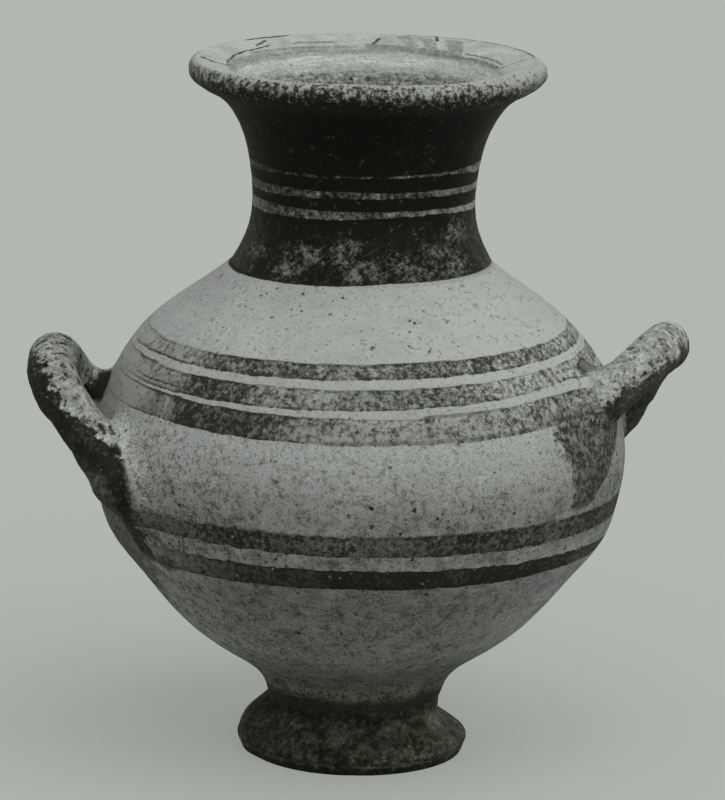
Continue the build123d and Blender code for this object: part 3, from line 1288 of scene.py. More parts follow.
@dataclass
class PouringHandle:
    """The oval strap behind, from the neck's waist down to the shoulder."""

    width: float = 38.0
    thickness: float = 20.0
    crown_bend: float = 40.0
    heel_bend: float = 22.0
    heel_stand: float = 6.0
    crown_rise: float = 18.0
    stand_out: float = 68.0
    shoulder_drop: float = 50.5
    buried: float = 10.0
    clay_blend: float = 13.0
    clay_reach: float = 46.0

    def path(self, wall: PotWall) -> np.ndarray:
        """The strap's centre line, from the neck to the shoulder.

        Args:
            wall: The jar's wall.

        Returns:
            Its points.
        """
        waist_level = NECK_BASE + wall.neck_waist_rise
        shoulder_level = NECK_BASE - self.shoulder_drop
        shoulder_radius = float(wall.radius_at(shoulder_level))
        corners = [
            Vector((0.0, wall.neck_waist_radius - wall.thickness, waist_level)),
            Vector((0.0, wall.neck_waist_radius + self.stand_out, waist_level + self.crown_rise)),
            Vector((0.0, shoulder_radius + self.heel_stand, shoulder_level)),
            Vector((0.0, shoulder_radius - self.buried, shoulder_level)),
        ]
        return bent_run(corners, (self.crown_bend, self.heel_bend), BAR_STEP)

    def build(self, shop: Workshop, wall: PotWall, slip: "Finish", clay_slip: "Finish") -> None:
        """Bend the strap, press clay round its two ends, and keep the three pieces.

        Args:
            shop: The workshop.
            wall: The jar's wall.
            slip: The strap's finish.
            clay_slip: The clay's.
        """
        path = self.path(wall)
        strap = shop.bend("back_strap", path, self.width, self.thickness, slip)
        keep(strap, "back_handle")
        waist = Vector((0.0, wall.neck_waist_radius, NECK_BASE + wall.neck_waist_rise))
        shoulder_level = NECK_BASE - self.shoulder_drop
        shoulder = Vector((0.0, float(wall.radius_at(shoulder_level)), shoulder_level))
        half_width, half_thickness = self.width / 2, self.thickness / 2
        for root, heel in (("neck", waist), ("shoulder", shoulder)):
            node = f"back_{root}_root_clay"
            clay = PressedClay(heel, half_width, half_thickness, self.clay_blend, self.clay_reach)
            keep(shop.press(node + "_pressed", path, clay, clay_slip), node)


# Finishes. A tone is how light a surface is, from 0 for black to 1 for white, as the eye grades
# it, and a cover is how much of the ground a coat of slip still hides

# A tone to this power is the light that the surface gives back
EYE_POWER = 2.2

# How softly a painted edge ends, in millimetres
EDGE = 0.4

# Between these turns the bands' slip goes from evenly worn, at a share of the contrast, to patchy
FADED_TURN, PATCHY_TURN = -60, -44
FADED_CONTRAST = 0.7

# The tint of each tone, from dark to light
TINTS = (
    (0.06, (1.42, 1.38, 0.46)),
    (0.12, (1.2, 1.21, 0.64)),
    (0.28, (1.07, 1.1, 0.84)),
    (0.43, (1.02, 1.055, 0.925)),
    (0.62, (0.985, 1.035, 0.975)),
)


@dataclass(frozen=True)
class Cells:
    """A random pattern of cells: how far a point is from its cell's middle, and the cell's number."""

    distance: Number
    chance: Number

    def specks(self, share: Scalar, width: float, first: float = 0.0) -> Number:
        """Specks of uneven size and outline in some of the cells.

        Args:
            share: The share of the cells that hold a speck.
            width: A speck's width as a share of the spacing.
            first: The cell number at which the share starts, so that two kinds stay apart.

        Returns:
            The specks, 1 inside and 0 outside.
        """
        inside = self.distance.rises(width * 0.66, width * 0.34)
        picked = (first - self.chance + share).rises(0, 0.02)
        if first:
            picked = picked * self.chance.rises(first - 0.01, first + 0.01)
        return inside * picked


class Skin:
    """Where a shaded point lies on the jar, and the patterns that the finishes share."""

    def __init__(self, bench: Bench) -> None:
        """Find the point's place, its distance from the axis and its turn round it.

        Args:
            bench: The material's tree.
        """
        self.bench = bench
        self.place = bench.node("ShaderNodeTexCoord", {}, {}, "Object") * (1 / MM)
        self.x, self.y, self.z = self.place.split()
        self.from_axis = self.place.stretched((1, 1, 0)).length()
        around = bench.node("ShaderNodeMath", {"operation": "ARCTAN2"}, {0: self.x, 1: self.y * -1.0})
        self.turn = around * (180 / math.pi)

    def cloud(self, size: float, seed: float, detail: float = 3.0, rough: float = 0.55) -> Number:
        """Noise about 0, about as wide as its size."""
        return self.bench.grain(self.place, size, seed, detail, rough) - 0.5

    def streak(self, size: float, seed: float, stretch: Point3) -> Number:
        """Noise about 0 that is drawn out along the axes whose stretch is small."""
        return self.bench.grain(self.place.stretched(stretch), size, seed, 3, 0.6) - 0.5

    @cached_property
    def broad(self) -> Number:
        """Clouds as wide as a hand."""
        return self.cloud(60, 3, 2)

    @cached_property
    def wide(self) -> Number:
        """Clouds as wide as a finger."""
        return self.cloud(13, 4, 3, 0.6)

    @cached_property
    def mottle(self) -> Number:
        """The grain of the clay."""
        return self.cloud(3.3, 5, 3, 0.64)

    @cached_property
    def fine(self) -> Number:
        """The finest grain."""
        return self.cloud(1.25, 6, 1, 0.6)

    @cached_property
    def ragged(self) -> Number:
        """The unevenness of a patch's rim."""
        return self.cloud(8, 2, 5, 0.68)

    @cached_property
    def blotch(self) -> Number:
        """Crisp blotches a few millimetres wide, 1 inside and 0 outside."""
        return self.cloud(5.5, 12, 4, 0.7).rises(0.03, 0.10)

    @cached_property
    def tremble(self) -> Number:
        """How far a brush's edge strays, in millimetres."""
        return self.cloud(13, 41) * 2 + self.mottle * 1.4

    @cached_property
    def brushed(self) -> Number:
        """Faint level streaks from the wheel."""
        return self.streak(9, 7, (0.25, 0.25, 2.2))

    @cached_property
    def wear(self) -> Number:
        """How unevenly a coat has worn, from fine grain to wide clouds."""
        return self.mottle * 2.5 + self.fine * 1.1 + self.ragged + self.wide * 1.1

    @cached_property
    def jolt(self) -> Triple:
        """A small random shift that breaks up the outlines of cells."""
        return self.bench.stray(self.place, 2.1, 1)

    @cached_property
    def grit(self) -> Cells:
        """Small cells, for grit and pinholes."""
        return self.cells(3.1, 8, 2.6)

    @cached_property
    def flakes(self) -> Cells:
        """Large cells, for pits and flakes."""
        return self.cells(8.5, 9, 4)

    def cells(self, spacing: float, seed: float, jitter: float) -> Cells:
        """A random pattern of cells.

        Args:
            spacing: How far apart they are.
            seed: Which pattern of many.
            jitter: How much their outlines are broken up.

        Returns:
            The cells.
        """
        moved = self.bench.shifted(self.place + self.jolt * jitter, seed)
        pattern = self.bench.raw("ShaderNodeTexVoronoi", {}, {"Vector": moved, "Scale": 1 / spacing})
        chance, size, _ = self.bench.wrap(pattern.outputs["Color"]).split()
        return Cells(self.bench.wrap(pattern.outputs["Distance"]) / (size * 0.9 + 0.55), chance)

    def profile(self, value: Number, stops: Stops, low: float, high: float) -> Number:
        """A value that follows another through given stops.

        Args:
            value: What it follows.
            stops: Pairs of the followed value and the level there.
            low: The lowest level.
            high: The highest one.

        Returns:
            The level.
        """
        first, last = stops[0][0], stops[-1][0]
        marks = []
        for place, level in stops:
            share = (level - low) / (high - low)
            marks.append(((place - first) / (last - first), (share, share, share)))
        along = (value - first) * (1 / (last - first))
        ramp = self.bench.node("ShaderNodeValToRGB", {"stops": marks}, {"Fac": along}, "Color")
        grey = self.bench.node("ShaderNodeRGBToBW", {}, {"Color": ramp})
        return grey * (high - low) + low

    def strength(self, stops: Stops) -> Number:
        """How thick a coat is by the turn round the jar, between 0 and 1."""
        return self.profile(self.turn, stops, 0, 1)

    def patch(
        self,
        turn: float,
        level: float,
        half_turn: float,
        half_level: float,
        soft: float = 0.5,
    ) -> Number:
        """A ragged oval on the wall.

        Args:
            turn: Its middle, in degrees round from the front.
            level: Its middle's height.
            half_turn: Half its width, in degrees.
            half_level: Half its height.
            soft: How softly it ends, as a share of its size.

        Returns:
            The oval, 1 inside and 0 outside.
        """
        across = (self.turn - turn) * (1 / half_turn)
        along = (self.z - level) * (1 / half_level)
        distance = (across**2 + along**2) ** 0.5 + self.ragged * 1.6
        return distance.rises(1.0 + soft / 2, 1.0 - soft / 2)

    def within(self, outside: Stops, low: float, high: float) -> Number:
        """1 inside an outer face, which is given as its radius by height, and 0 on it."""
        return (self.profile(self.z, outside, low, high) - self.from_axis).rises(-1, 1)

    def stroke(self, start: Point3, end: Point3, width: float) -> Number:
        """A thin stroke between two points in space.

        Args:
            start: Where it starts.
            end: Where it ends.
            width: Half its width.

        Returns:
            The stroke, 1 inside and 0 outside.
        """
        run = Vector(end) - Vector(start)
        share = (self.place - start).dot(tuple(run / run.length_squared)).most(0).least(1)
        nearest = share.along(tuple(run)) + start
        off = self.place.distance(nearest) + self.mottle * width * 2
        return off.rises(width * 1.3, width * 0.7)

    def arc(self, radius: float, start: float, end: float, width: float) -> Number:
        """A thin stroke round the axis.

        Args:
            radius: How far it is from the axis.
            start: The turn where it starts.
            end: The turn where it ends.
            width: Half its width.

        Returns:
            The stroke, 1 inside and 0 outside.
        """
        off = (self.from_axis - radius + self.tremble).size()
        within = self.turn.rises(start - 2, start + 2) * self.turn.rises(end + 2, end - 2)
        return off.rises(width * 1.3, width * 0.7) * within

    def scratches(self, seed: float, tilt: float, share: float) -> Number:
        """Thin scratches, all at about one tilt as seen from the front.

        Args:
            seed: Which pattern of many.
            tilt: Their tilt in degrees.
            share: How many there are, between 0 and about 0.1.

        Returns:
            The scratches, 1 inside and 0 outside.
        """
        turned = self.bench.node(
            "ShaderNodeVectorRotate",
            {"rotation_type": "Y_AXIS"},
            {"Vector": self.place, "Angle": math.radians(tilt)},
        )
        drawn = self.bench.grain(turned.stretched((0.12, 0.3, 1)), 3.2, seed, 1, 0.5) - 0.5
        return drawn.size().rises(share, share * 0.4)

    def worn(self, cover: Scalar, contrast: Scalar = 1.0) -> Number:
        """A coat's cover, broken up by wear."""
        return (self.wear * contrast + cover).most(0).least(1)

    def tinted(self, tone: Number) -> Triple:
        """The colour of a tone, a little warmer where it is dark.

        Args:
            tone: The tone.

        Returns:
            The colour.
        """
        in_shade = tone - self.z.rises(165, 90) * tone.rises(0.22, 0.42) * 0.20
        tint = self.bench.node("ShaderNodeValToRGB", {"stops": TINTS}, {"Fac": in_shade}, "Color")
        return tint * (tone.most(0) ** EYE_POWER)


def most_of(numbers: Sequence[Number]) -> Number:
    """The largest of several numbers at each point."""
    return reduce(Number.most, numbers)


@dataclass(frozen=True)
class Finish:
    """One surface of the jar: how its tone, its relief and its sheen vary."""

    name: str
    sheen: float = 0.18
    base_roughness: float = 0.78

    def tone(self, skin: Skin) -> Number:
        """The tone, which each finish sets."""
        raise NotImplementedError

    def relief(self, skin: Skin) -> Number:
        """The fine relief in millimetres: grit, pits and the drag of the fingers."""
        pits = skin.flakes.specks(0.16, 0.30)
        return skin.fine * 0.20 + skin.mottle * 0.34 + skin.brushed * 0.14 - pits * 0.30

    def roughness(self, skin: Skin, tone: Number) -> Number:
        """Slip is a little smoother than bare clay."""
        return tone * 0.16 + self.base_roughness + skin.mottle * 0.15

    def material(self) -> bpy.types.Material:
        """The finish's material, made once.

        Returns:
            The material.
        """
        found = bpy.data.materials.get(self.name)
        if found:
            return found
        made = bpy.data.materials.new(self.name)
        made.use_nodes = True
        made.node_tree.nodes.clear()
        bench = Bench(made.node_tree)
        skin = Skin(bench)
        tone = self.tone(skin)
        bump = {"Height": self.relief(skin) * MM, "Distance": 1.0}
        inputs = {
            "Base Color": skin.tinted(tone),
            "Roughness": self.roughness(skin, tone),
            "Specular IOR Level": self.sheen,
            "Normal": bench.node("ShaderNodeBump", {}, bump),
        }
        shader = bench.raw("ShaderNodeBsdfPrincipled", {}, inputs)
        bench.raw("ShaderNodeOutputMaterial", {}, {"Surface": shader.outputs["BSDF"]})
        return made


@dataclass(frozen=True)
class Band:
    """A painted band: its edges and its thickness, each by the turn round the jar."""

    top: Stops
    bottom: Stops
    strength: Stops
    pooled: float = 0.15
    contrast: float = 1.0
    frayed: float = 0.0
    smeared: float = EDGE

    def cover(self, skin: Skin) -> Number:
        """How much of the ground the band hides.

        Args:
            skin: The shaded point.

        Returns:
            The cover, between 0 and 1.
        """
        levels = [level for _, level in self.top + self.bottom]
        low, high = min(levels), max(levels)
        level = skin.z + skin.tremble + skin.ragged * self.frayed
        over = level - skin.profile(skin.turn, self.bottom, low, high)
        under = skin.profile(skin.turn, self.top, low, high) - level
        nearest = over.least(under)
        rim = nearest.rises(1.8, 0.4) * self.pooled
        patchy = skin.turn.rises(FADED_TURN, PATCHY_TURN) * (1 - FADED_CONTRAST)
        contrast = (patchy + FADED_CONTRAST) * self.contrast
        thick = skin.strength(self.strength) + rim
        if self.smeared > EDGE:
            thick = thick - under.rises(0.6, -self.smeared) * 1.1
        return skin.worn(thick, contrast) * over.rises(-EDGE, EDGE) * under.rises(-self.smeared, EDGE)


@dataclass(frozen=True)
class BrushLine:
    """A thin dark line at a band's edge, over part of the turn."""

    start: float
    end: float
    start_level: float
    end_level: float
    width: float = 0.8
    strength: float = 0.55

    def cover(self, skin: Skin) -> Number:
        """How much of the ground the line hides.

        Args:
            skin: The shaded point.

        Returns:
            The cover, between 0 and 1.
        """
        share = (skin.turn - self.start) * (1 / (self.end - self.start))
        level = share * (self.end_level - self.start_level) + self.start_level
        off = (skin.z + skin.tremble - level).size()
        inside = off.rises(self.width, self.width * 0.5)
        within = share.rises(0, 0.06) * share.rises(1, 0.94)
        return inside * within * skin.worn(self.strength, 0.7)


SHOULDER_BANDS = (
    Band(
        top=((-180, 275), (-60, 273.6), (-30, 274.6), (0, 275.4), (40, 276.2), (80, 276.2), (180, 275)),
        bottom=(
            (-180, 266.5), (-80, 265.6), (-30, 266.2), (0, 267.2), (40, 268.2), (80, 269),
            (180, 266.5),
        ),
        strength=(
            (-180, 0.55), (-90, 0.02), (-70, 0.18), (-47, 0.3), (-41, 0.7), (-20, 0.68), (0, 0.5),
            (20, 0.64), (45, 0.46), (58, 0.34), (90, 0.25), (180, 0.55),
        ),
    ),
    Band(
        top=((-180, 262), (-60, 261.3), (0, 262.2), (40, 263.6), (75, 265), (180, 262)),
        bottom=(
            (-180, 251), (-80, 250.4), (-30, 250.2), (0, 251), (20, 252), (60, 255.5), (90, 255.5),
            (180, 251),
        ),
        strength=(
            (-180, 0.5), (-90, 0.04), (-70, 0.2), (-50, 0.32), (-43, 0.84), (-30, 0.8), (-22, 0.36),
            (-8, 0.36), (4, 0.54), (22, 0.52), (36, 0.3), (60, 0.26), (90, 0.35), (180, 0.5),
        ),
    ),
    Band(
        top=((-180, 247.5), (-60, 248), (-10, 246.8), (15, 246.6), (45, 249.5), (90, 250), (180, 247.5)),
        bottom=(
            (-180, 233.5), (-50, 234.2), (-28, 232.5), (0, 232), (30, 232.3), (50, 234),
            (180, 233.5),
        ),
        strength=(
            (-180, 0.6), (-90, 0), (-60, 0.14), (-53, 0.5), (-49, 0.3), (-45, 0.86), (-27, 0.88),
            (-18, 0.6), (-8, 0.26), (10, 0.24), (40, 0.28), (52, 0.44), (90, 0.45), (180, 0.6),
        ),
    ),
)

BELLY_BANDS = (
    Band(
        top=((-180, 177), (-45, 177.2), (0, 177.4), (40, 176.6), (75, 175.6), (180, 177)),
        bottom=((-180, 165), (-45, 166.2), (-10, 165), (15, 164.2), (60, 162.8), (180, 165)),
        strength=(
            (-180, 0.7), (-60, 0.36), (-50, 0.3), (-38, 0.42), (-30, 0.72), (-18, 0.7), (-8, 0.5),
            (12, 0.52), (24, 0.76), (40, 0.64), (48, 0.46), (58, 0.76), (75, 0.62), (180, 0.7),
        ),
        contrast=1.4,
        frayed=6.0,
        smeared=2.8,
    ),
    Band(
        top=((-180, 154), (-45, 155.6), (0, 155.6), (25, 154.8), (50, 152.8), (75, 150), (180, 154)),
        bottom=((-180, 142), (-30, 142.2), (0, 142.6), (40, 142.2), (75, 142), (180, 142)),
        strength=(
            (-180, 0.8), (-55, 0.15), (-42, 0.32), (-28, 0.64), (-18, 0.78), (-8, 0.86), (0, 1.02),
            (17, 1.02), (22, 0.84), (28, 1), (54, 1), (60, 0.72), (80, 0.6), (180, 0.8),
        ),
        contrast=0.8,
        frayed=3.5,
    ),
)

BRUSH_LINES = (
    BrushLine(-84, -47, 265.2, 266.6, 0.75, 0.80),
    BrushLine(-84, -60, 261.9, 261.4, 0.75, 0.80),
    BrushLine(-60, -44, 261.2, 259.4, 0.60, 0.60),
    BrushLine(-70, -34, 252.9, 253.6, 0.65, 0.80),
    BrushLine(-78, -46, 250.6, 250.4, 0.70, 0.75),
    BrushLine(-82, -44, 248.2, 247.8, 0.80, 0.85),
    BrushLine(-84, -52, 234.8, 234.4, 0.60, 0.60),
    BrushLine(-10, 48, 232.8, 234.6, 1.6, 0.42),
    BrushLine(42, 60, 235.6, 236, 2.6, 0.50),
    BrushLine(14, 36, 246.6, 248.2, 1.4, 0.44),
    BrushLine(-25, 0, 253.4, 253, 0.6, 0.40),
)


# The bare clay by height
GROUND_TONES = (
    (36, 0.26), (44, 0.4), (50, 0.5), (58, 0.56), (68, 0.64), (78, 0.725), (88, 0.725), (98, 0.655),
    (118, 0.64), (138, 0.615), (160, 0.54), (184, 0.55), (199, 0.575), (203, 0.61), (228, 0.65),
    (312, 0.67),
)

# Where the neck's slip ends on the shoulder, by turn
NECK_EDGE = ((-180, 312.5), (-70, 310.9), (-20, 312), (0, 313.2), (12, 314.3), (90, 314.3), (180, 312.5))

# Half the width in degrees of the slip that ran down under the left handle, by height
TAIL_WIDTHS = ((138, 0.5), (150, 3.4), (170, 5), (200, 8))


@dataclass(frozen=True)
class BandedClay(Finish):
    """Pale clay with painted bands, dirty low down, and black where the neck and the foot begin."""

    name: str = "banded_clay"
    slip: float = 0.15

    def ground(self, skin: Skin) -> Number:
        """The bare clay, by height, with its clouds, streaks and specks, and painted light on its lower
        sides.

        Args:
            skin: The shaded point.

        Returns:
            The tone.
        """
        tone = skin.profile(skin.z, GROUND_TONES, 0, 1)
        low = skin.z.rises(225, 165)
        soiled = skin.z.rises(268, 222)
        # Painted light: the lower body is lighter towards both sides, where its wall turns away from view
        edgeways_light = skin.turn.size().rises(22, 62) * skin.z.rises(168, 142)
        edgeways_light = edgeways_light * skin.z.rises(60, 90)
        clean = skin.turn.rises(16, 44) * skin.z.rises(215, 262)
        rough = 1 - clean * 0.86 + skin.turn.rises(-15, -50) * 0.5
        bowl = skin.z.rises(140, 95)
        tone = tone + edgeways_light * 0.14 + clean * 0.03
        tone = tone + skin.turn.rises(-20, -50) * skin.z.rises(274, 284) * 0.03
        tone = tone + skin.broad * 0.10
        tone = tone + skin.wide * (low * 0.34 + 0.18 - clean * 0.11)
        tone = tone + skin.ragged * (low * 0.36 + soiled * 0.14 + 0.14) * rough
        tone = tone + skin.mottle * (soiled * 0.40 + bowl * 0.18 + 0.18) * rough
        tone = tone + skin.fine * (soiled * 0.28 + bowl * 0.24 + 0.16) * rough
        tone = tone + skin.streak(2, 16, (1, 1, 0.22)) * (low * 0.16 + 0.03)
        tone = tone + skin.brushed * 0.05 * rough
        spots = skin.grit.specks(low * 0.16 + soiled * 0.06 + 0.035 * rough, 0.52)
        pits = skin.flakes.specks((low * 0.08 + 0.12) * rough, 0.26)
        cluster = skin.patch(-30, 302, 22, 13, 0.8) + skin.patch(18, 288, 6, 12, 0.8)
        gravel = skin.grit.specks(cluster * 0.16, 0.55, 0.3)
        return tone - spots * 0.24 - pits * 0.34 - gravel * 0.36

    def tongue(self, skin: Skin) -> Number:
        """The slip that ran down under the right handle.

        Args:
            skin: The shaded point.

        Returns:
            The slip, 1 inside and 0 outside.
        """
        uneven = skin.ragged * 12
        left = (skin.turn + uneven) - ((skin.z * -1 + 232) * 0.085 + 48.5)
        right = (skin.z - 181) * 0.50 + 58.5 - (skin.turn + uneven * 0.5)
        inside = left.rises(-0.9, 0.9) * right.rises(-0.8, 0.8) * skin.z.rises(178.5, 182)
        return inside * skin.z.rises(240, 231)

    def tail(self, skin: Skin) -> Number:
        """The slip that ran down under the left handle.

        Args:
            skin: The shaded point.

        Returns:
            The slip, 1 inside and 0 outside.
        """
        middle = (skin.z * -1 + 200) * 0.19 - 65
        width = skin.profile(skin.z, TAIL_WIDTHS, 0, 10)
        off = (skin.turn + skin.ragged * 9 - middle).size() / width
        return off.rises(1.15, 0.75) * skin.z.rises(140, 148) * skin.z.rises(222, 205)

    def marks(self, skin: Skin, tone: Number) -> Number:
        """The larger chips, clusters and stains that are seen from the front, and painted shade under the
        left handle.

        Args:
            skin: The shaded point.
            tone: The tone without them.

        Returns:
            The tone.
        """
        chip = skin.patch(70, 258.6, 3.6, 3.2, 0.15)
        rim = skin.patch(70, 258.6, 4.7, 4.3, 0.15) - chip
        tone = tone.towards(0.40, chip).towards(0.16, rim.most(0) * 0.8)
        peeled = skin.patch(26.5, 210, 1.6, 2.2, 0.3)
        tone = tone.towards(0.70, peeled)
        faded = skin.patch(-80, 240, 16, 30, 0.8)
        tone = tone.towards(skin.wear * 0.24 + 0.61, faded * 0.75)
        stained = skin.patch(-74, 140, 17, 36, 0.8)
        tone = tone.towards(skin.blotch * -0.20 + skin.mottle * 0.4 + 0.44, stained * 0.85)
        # Painted shade: the wall inside the left handle's loop, darkened almost to black under its crown
        tone = tone.towards(0.15, skin.patch(-90.5, 230.5, 6.5, 9, 0.4))
        dark = skin.patch(-48.5, 145, 4, 5, 0.8) + skin.patch(-19.5, 106, 5, 2, 1) * 0.6
        return tone.towards(0.24, skin.worn(dark * 0.7 - 0.15))

    def tone(self, skin: Skin) -> Number:
        """Ground, bands, run slip, chips and dirt.

        Args:
            skin: The shaded point.

        Returns:
            The tone.
        """
        tone = self.ground(skin)
        marks = (*SHOULDER_BANDS, *BELLY_BANDS, *BRUSH_LINES)
        cover = most_of([mark.cover(skin) for mark in marks])
        tone = tone.towards(self.slip, cover)
        painted = cover.rises(0.15, 0.5)
        chips = skin.flakes.specks(painted * 0.12, 0.30, 0.4)
        chips = chips.most(skin.grit.specks(painted * 0.07, 0.5, 0.6))
        tone = tone.towards(0.60, chips * 0.8)
        tone = self.marks(skin, tone)
        tone = tone.towards(0.19, skin.worn(0.66, 1.3) * self.tongue(skin))
        tone = tone.towards(0.13, skin.worn(0.86, 0.8) * self.tail(skin))
        edge = skin.profile(skin.turn, NECK_EDGE, 310, 315)
        drip = skin.mottle * 1.4 + skin.patch(19, 313.5, 1.2, 1.4) * 1.6
        above = (skin.z + drip - edge).rises(-0.3, 0.3)
        tone = tone.towards(skin.mottle * 0.12 + 0.12, above)
        foot_slip = (skin.z + skin.wide * 5).rises(49, 41)
        return tone.towards(skin.wear * 0.09 + 0.19, foot_slip * 0.94)


# Where the lower neck is rubbed through: turn, height, and half of each
RUBBED_SPOTS = (
    (-36, 319, 10, 7),
    (-22, 330, 12, 7),
    (-8, 331, 9, 9),
    (2, 320, 10, 8),
    (16, 327, 9, 5),
    (24, 320, 10, 7),
    (36, 329, 9, 6),
    (46, 323, 11, 11),
    (56, 342, 10, 10),
    (-60, 327, 9, 4),
)

# The lines left bare round the neck, from the top one down
NECK_LINES = (
    Band(
        top=((-180, 378.4), (-75, 379.2), (-40, 378.2), (0, 378.7), (40, 379), (75, 379.6), (180, 378.4)),
        bottom=(
            (-180, 377), (-75, 374.6), (-45, 376.2), (0, 377.4), (50, 377.2), (75, 373.6),
            (180, 377),
        ),
        strength=(
            (-180, 0.4), (-75, 0.4), (-40, 0.24), (0, 0.28), (45, 0.44), (62, 0.62), (80, 0.85),
            (180, 0.4),
        ),
        pooled=0.0,
        contrast=0.8,
    ),
    Band(
        top=((-180, 368), (-60, 368), (0, 368.8), (40, 368), (75, 366.8), (180, 368)),
        bottom=(
            (-180, 363.5), (-60, 362.4), (-10, 364.4), (20, 364.6), (60, 363.4), (75, 362.4),
            (180, 363.5),
        ),
        strength=((-180, 0.5), (-75, 0.54), (-45, 0.32), (0, 0.44), (40, 0.54), (75, 0.84), (180, 0.5)),
        pooled=0.0,
        contrast=0.8,
    ),
    Band(
        top=((-180, 356.2), (-60, 356.2), (0, 356.4), (40, 356), (75, 354.6), (180, 356.2)),
        bottom=(
            (-180, 350.5), (-60, 349.4), (-10, 351.2), (15, 352.4), (35, 353.2), (60, 351.4),
            (75, 349.8), (180, 350.5),
        ),
        strength=(
            (-180, 0.5), (-75, 0.74), (-48, 0.4), (-10, 0.48), (20, 0.54), (50, 0.78), (70, 0.98),
            (180, 0.5),
        ),
        pooled=0.0,
        contrast=0.8,
    ),
)

# The neck's radius by height, a little less than its outer face
NECK_OUTSIDE = ((300, 92), (312, 78), (330, 68), (352, 64), (380, 67), (400, 74), (420, 90))


@dataclass(frozen=True)
class NeckSlip(Finish):
    """Black slip with three reserved lines, worn through in blotches low down."""

    name: str = "neck_slip"
    slip: float = 0.06
    line_tone: float = 0.62

    def rubbed(self, skin: Skin) -> Number:
        """Where the lower neck is rubbed through."""
        return most_of([skin.patch(*spot, 1) for spot in RUBBED_SPOTS])

    def painted(self, skin: Skin) -> Number:
        """The slip, what shows through it, and painted sheen towards its sides.

        Args:
            skin: The shaded point.

        Returns:
            The tone.
        """
        tone = skin.mottle * 0.06 + skin.wide * 0.04 + self.slip
        # Painted sheen: the slip is lighter towards both sides, where it turns away from view
        tone = tone + skin.turn.size().rises(42, 84) * 0.12
        low = skin.z.rises(352, 334)
        tone = tone + skin.z.rises(372, 335) * 0.02 + (skin.wear * 0.12 + 0.035) * low
        rubbed = self.rubbed(skin)
        through = (skin.wear * 1.3 + skin.ragged * 1.5 + rubbed * 0.76 - 0.46).most(0).least(1)
        tone = tone.towards(0.52, through * 0.92)
        lines = skin.scratches(74, 35, 0.014).most(skin.scratches(75, -50, 0.008))
        tone = tone.towards(0.42, lines * (rubbed * 0.7 + low * 0.10 + 0.03))
        lint = skin.grit.specks(skin.z.rises(362, 340) * 0.05 + 0.01, 0.4)
        lint = skin.flakes.specks(0.12, 0.10).most(lint)
        tone = tone.towards(0.36, lint * 0.7)
        left = skin.turn.rises(-38, -58) * skin.z.rises(376, 396)
        right = skin.turn.rises(52, 76) * skin.z.rises(380, 400)
        tone = tone.towards(0.34, lines * left * 0.7)
        return tone.towards(0.38, skin.worn(0.42, 1.3) * right * 0.9)

    def tone(self, skin: Skin) -> Number:
        """Slip, lines, and bare clay below its edge and inside the throat.

        Args:
            skin: The shaded point.

        Returns:
            The tone.
        """
        tone = self.painted(skin)
        for line in NECK_LINES:
            tone = tone.towards(self.line_tone, line.cover(skin))
        edge = skin.profile(skin.turn, NECK_EDGE, 310, 315)
        above = (skin.z + skin.mottle * 1.4 - edge).rises(-0.3, 0.3)
        bare = skin.mottle * 0.20 + skin.fine * 0.2 + 0.64
        tone = bare.towards(tone, above)
        return tone.towards(throat_tone(skin), skin.within(NECK_OUTSIDE, 60, 100))


# The throat by height
THROAT_TONES = (
    (380, 0.34), (398, 0.4), (410, 0.49), (416, 0.52), (419.5, 0.58), (422, 0.64), (424.5, 0.72),
    (427.5, 0.75), (430, 0.66), (432, 0.56), (434, 0.57), (440, 0.62),
)


def throat_tone(skin: Skin) -> Number:
    """Bare clay brushed round inside the throat, darker and speckled deep down.

    Args:
        skin: The shaded point.

    Returns:
        The tone.
    """
    brushed = skin.z + skin.streak(22, 91, (0.5, 0.5, 1)) * 5
    tone = skin.profile(brushed, THROAT_TONES, 0, 1)
    rings = skin.streak(2.6, 92, (0.12, 0.12, 1.6))
    grooves = rings.size().rises(0.02, 0.008) * skin.wide.rises(-0.02, 0.05)
    tone = tone + rings * 0.34 - grooves * 0.14
    deep = (skin.z + skin.ragged * 10).rises(422, 416)
    specks = skin.grit.specks(deep * 0.34 + 0.015, 0.56)
    tone = tone + skin.mottle * (deep * 0.8 + 0.24) + skin.fine * 0.24 - specks * 0.24
    return tone - skin.blotch * deep * 0.10


# How sooty the rim is at the back right, by turn
SOOT_BARS = (
    (135, 0), (140.4, 0), (141.2, 1), (148, 1), (148.8, 0), (152.8, 0), (153.6, 0.9), (158.6, 0.9),
    (159.4, 0), (161.2, 0), (162, 0.8), (167, 0.8), (167.8, 0), (180, 0),
)

# Thin dark arcs on the rim: radius, first turn, last turn and half the width
RIM_ARCS = (
    (107, 100, 138, 0.8),
    (107.2, 138, 172, 1.1),
    (105, -146, -106, 0.8),
    (103.6, -152, -134, 1.7),
)

# Thin dark strokes on the rim: start, end and half the width
RIM_STROKES = (
    ((-83.2, -2.6, 434.3), (-83.1, 15.6, 435.2), 1.7),
    ((-83.1, 15.6, 435.2), (-81.1, 32.1, 435.8), 1),
    ((-81.1, 32.1, 435.8), (-74.7, 48.4, 435.9), 0.8),
    ((-74.7, 48.4, 435.9), (-59.5, 69.8, 436.6), 0.7),
    ((-99.2, -5.2, 440), (-93.5, -11.5, 438.8), 1.5),
    ((-93.5, -11.5, 438.8), (-82.6, -3.6, 433.8), 0.9),
    ((-67.6, 64.4, 437.3), (-62.5, 75.5, 438.6), 1.1),
    ((84, 16.4, 431.9), (93.1, 12.7, 436.4), 0.8),
    ((93.1, 12.7, 436.4), (104.3, 15.3, 439.3), 0.8),
    ((46, 88, 438.2), (45.4, 95.5, 439.2), 1),
    ((6, 90.5, 435.9), (9.4, 95.6, 437.8), 1.1),
)

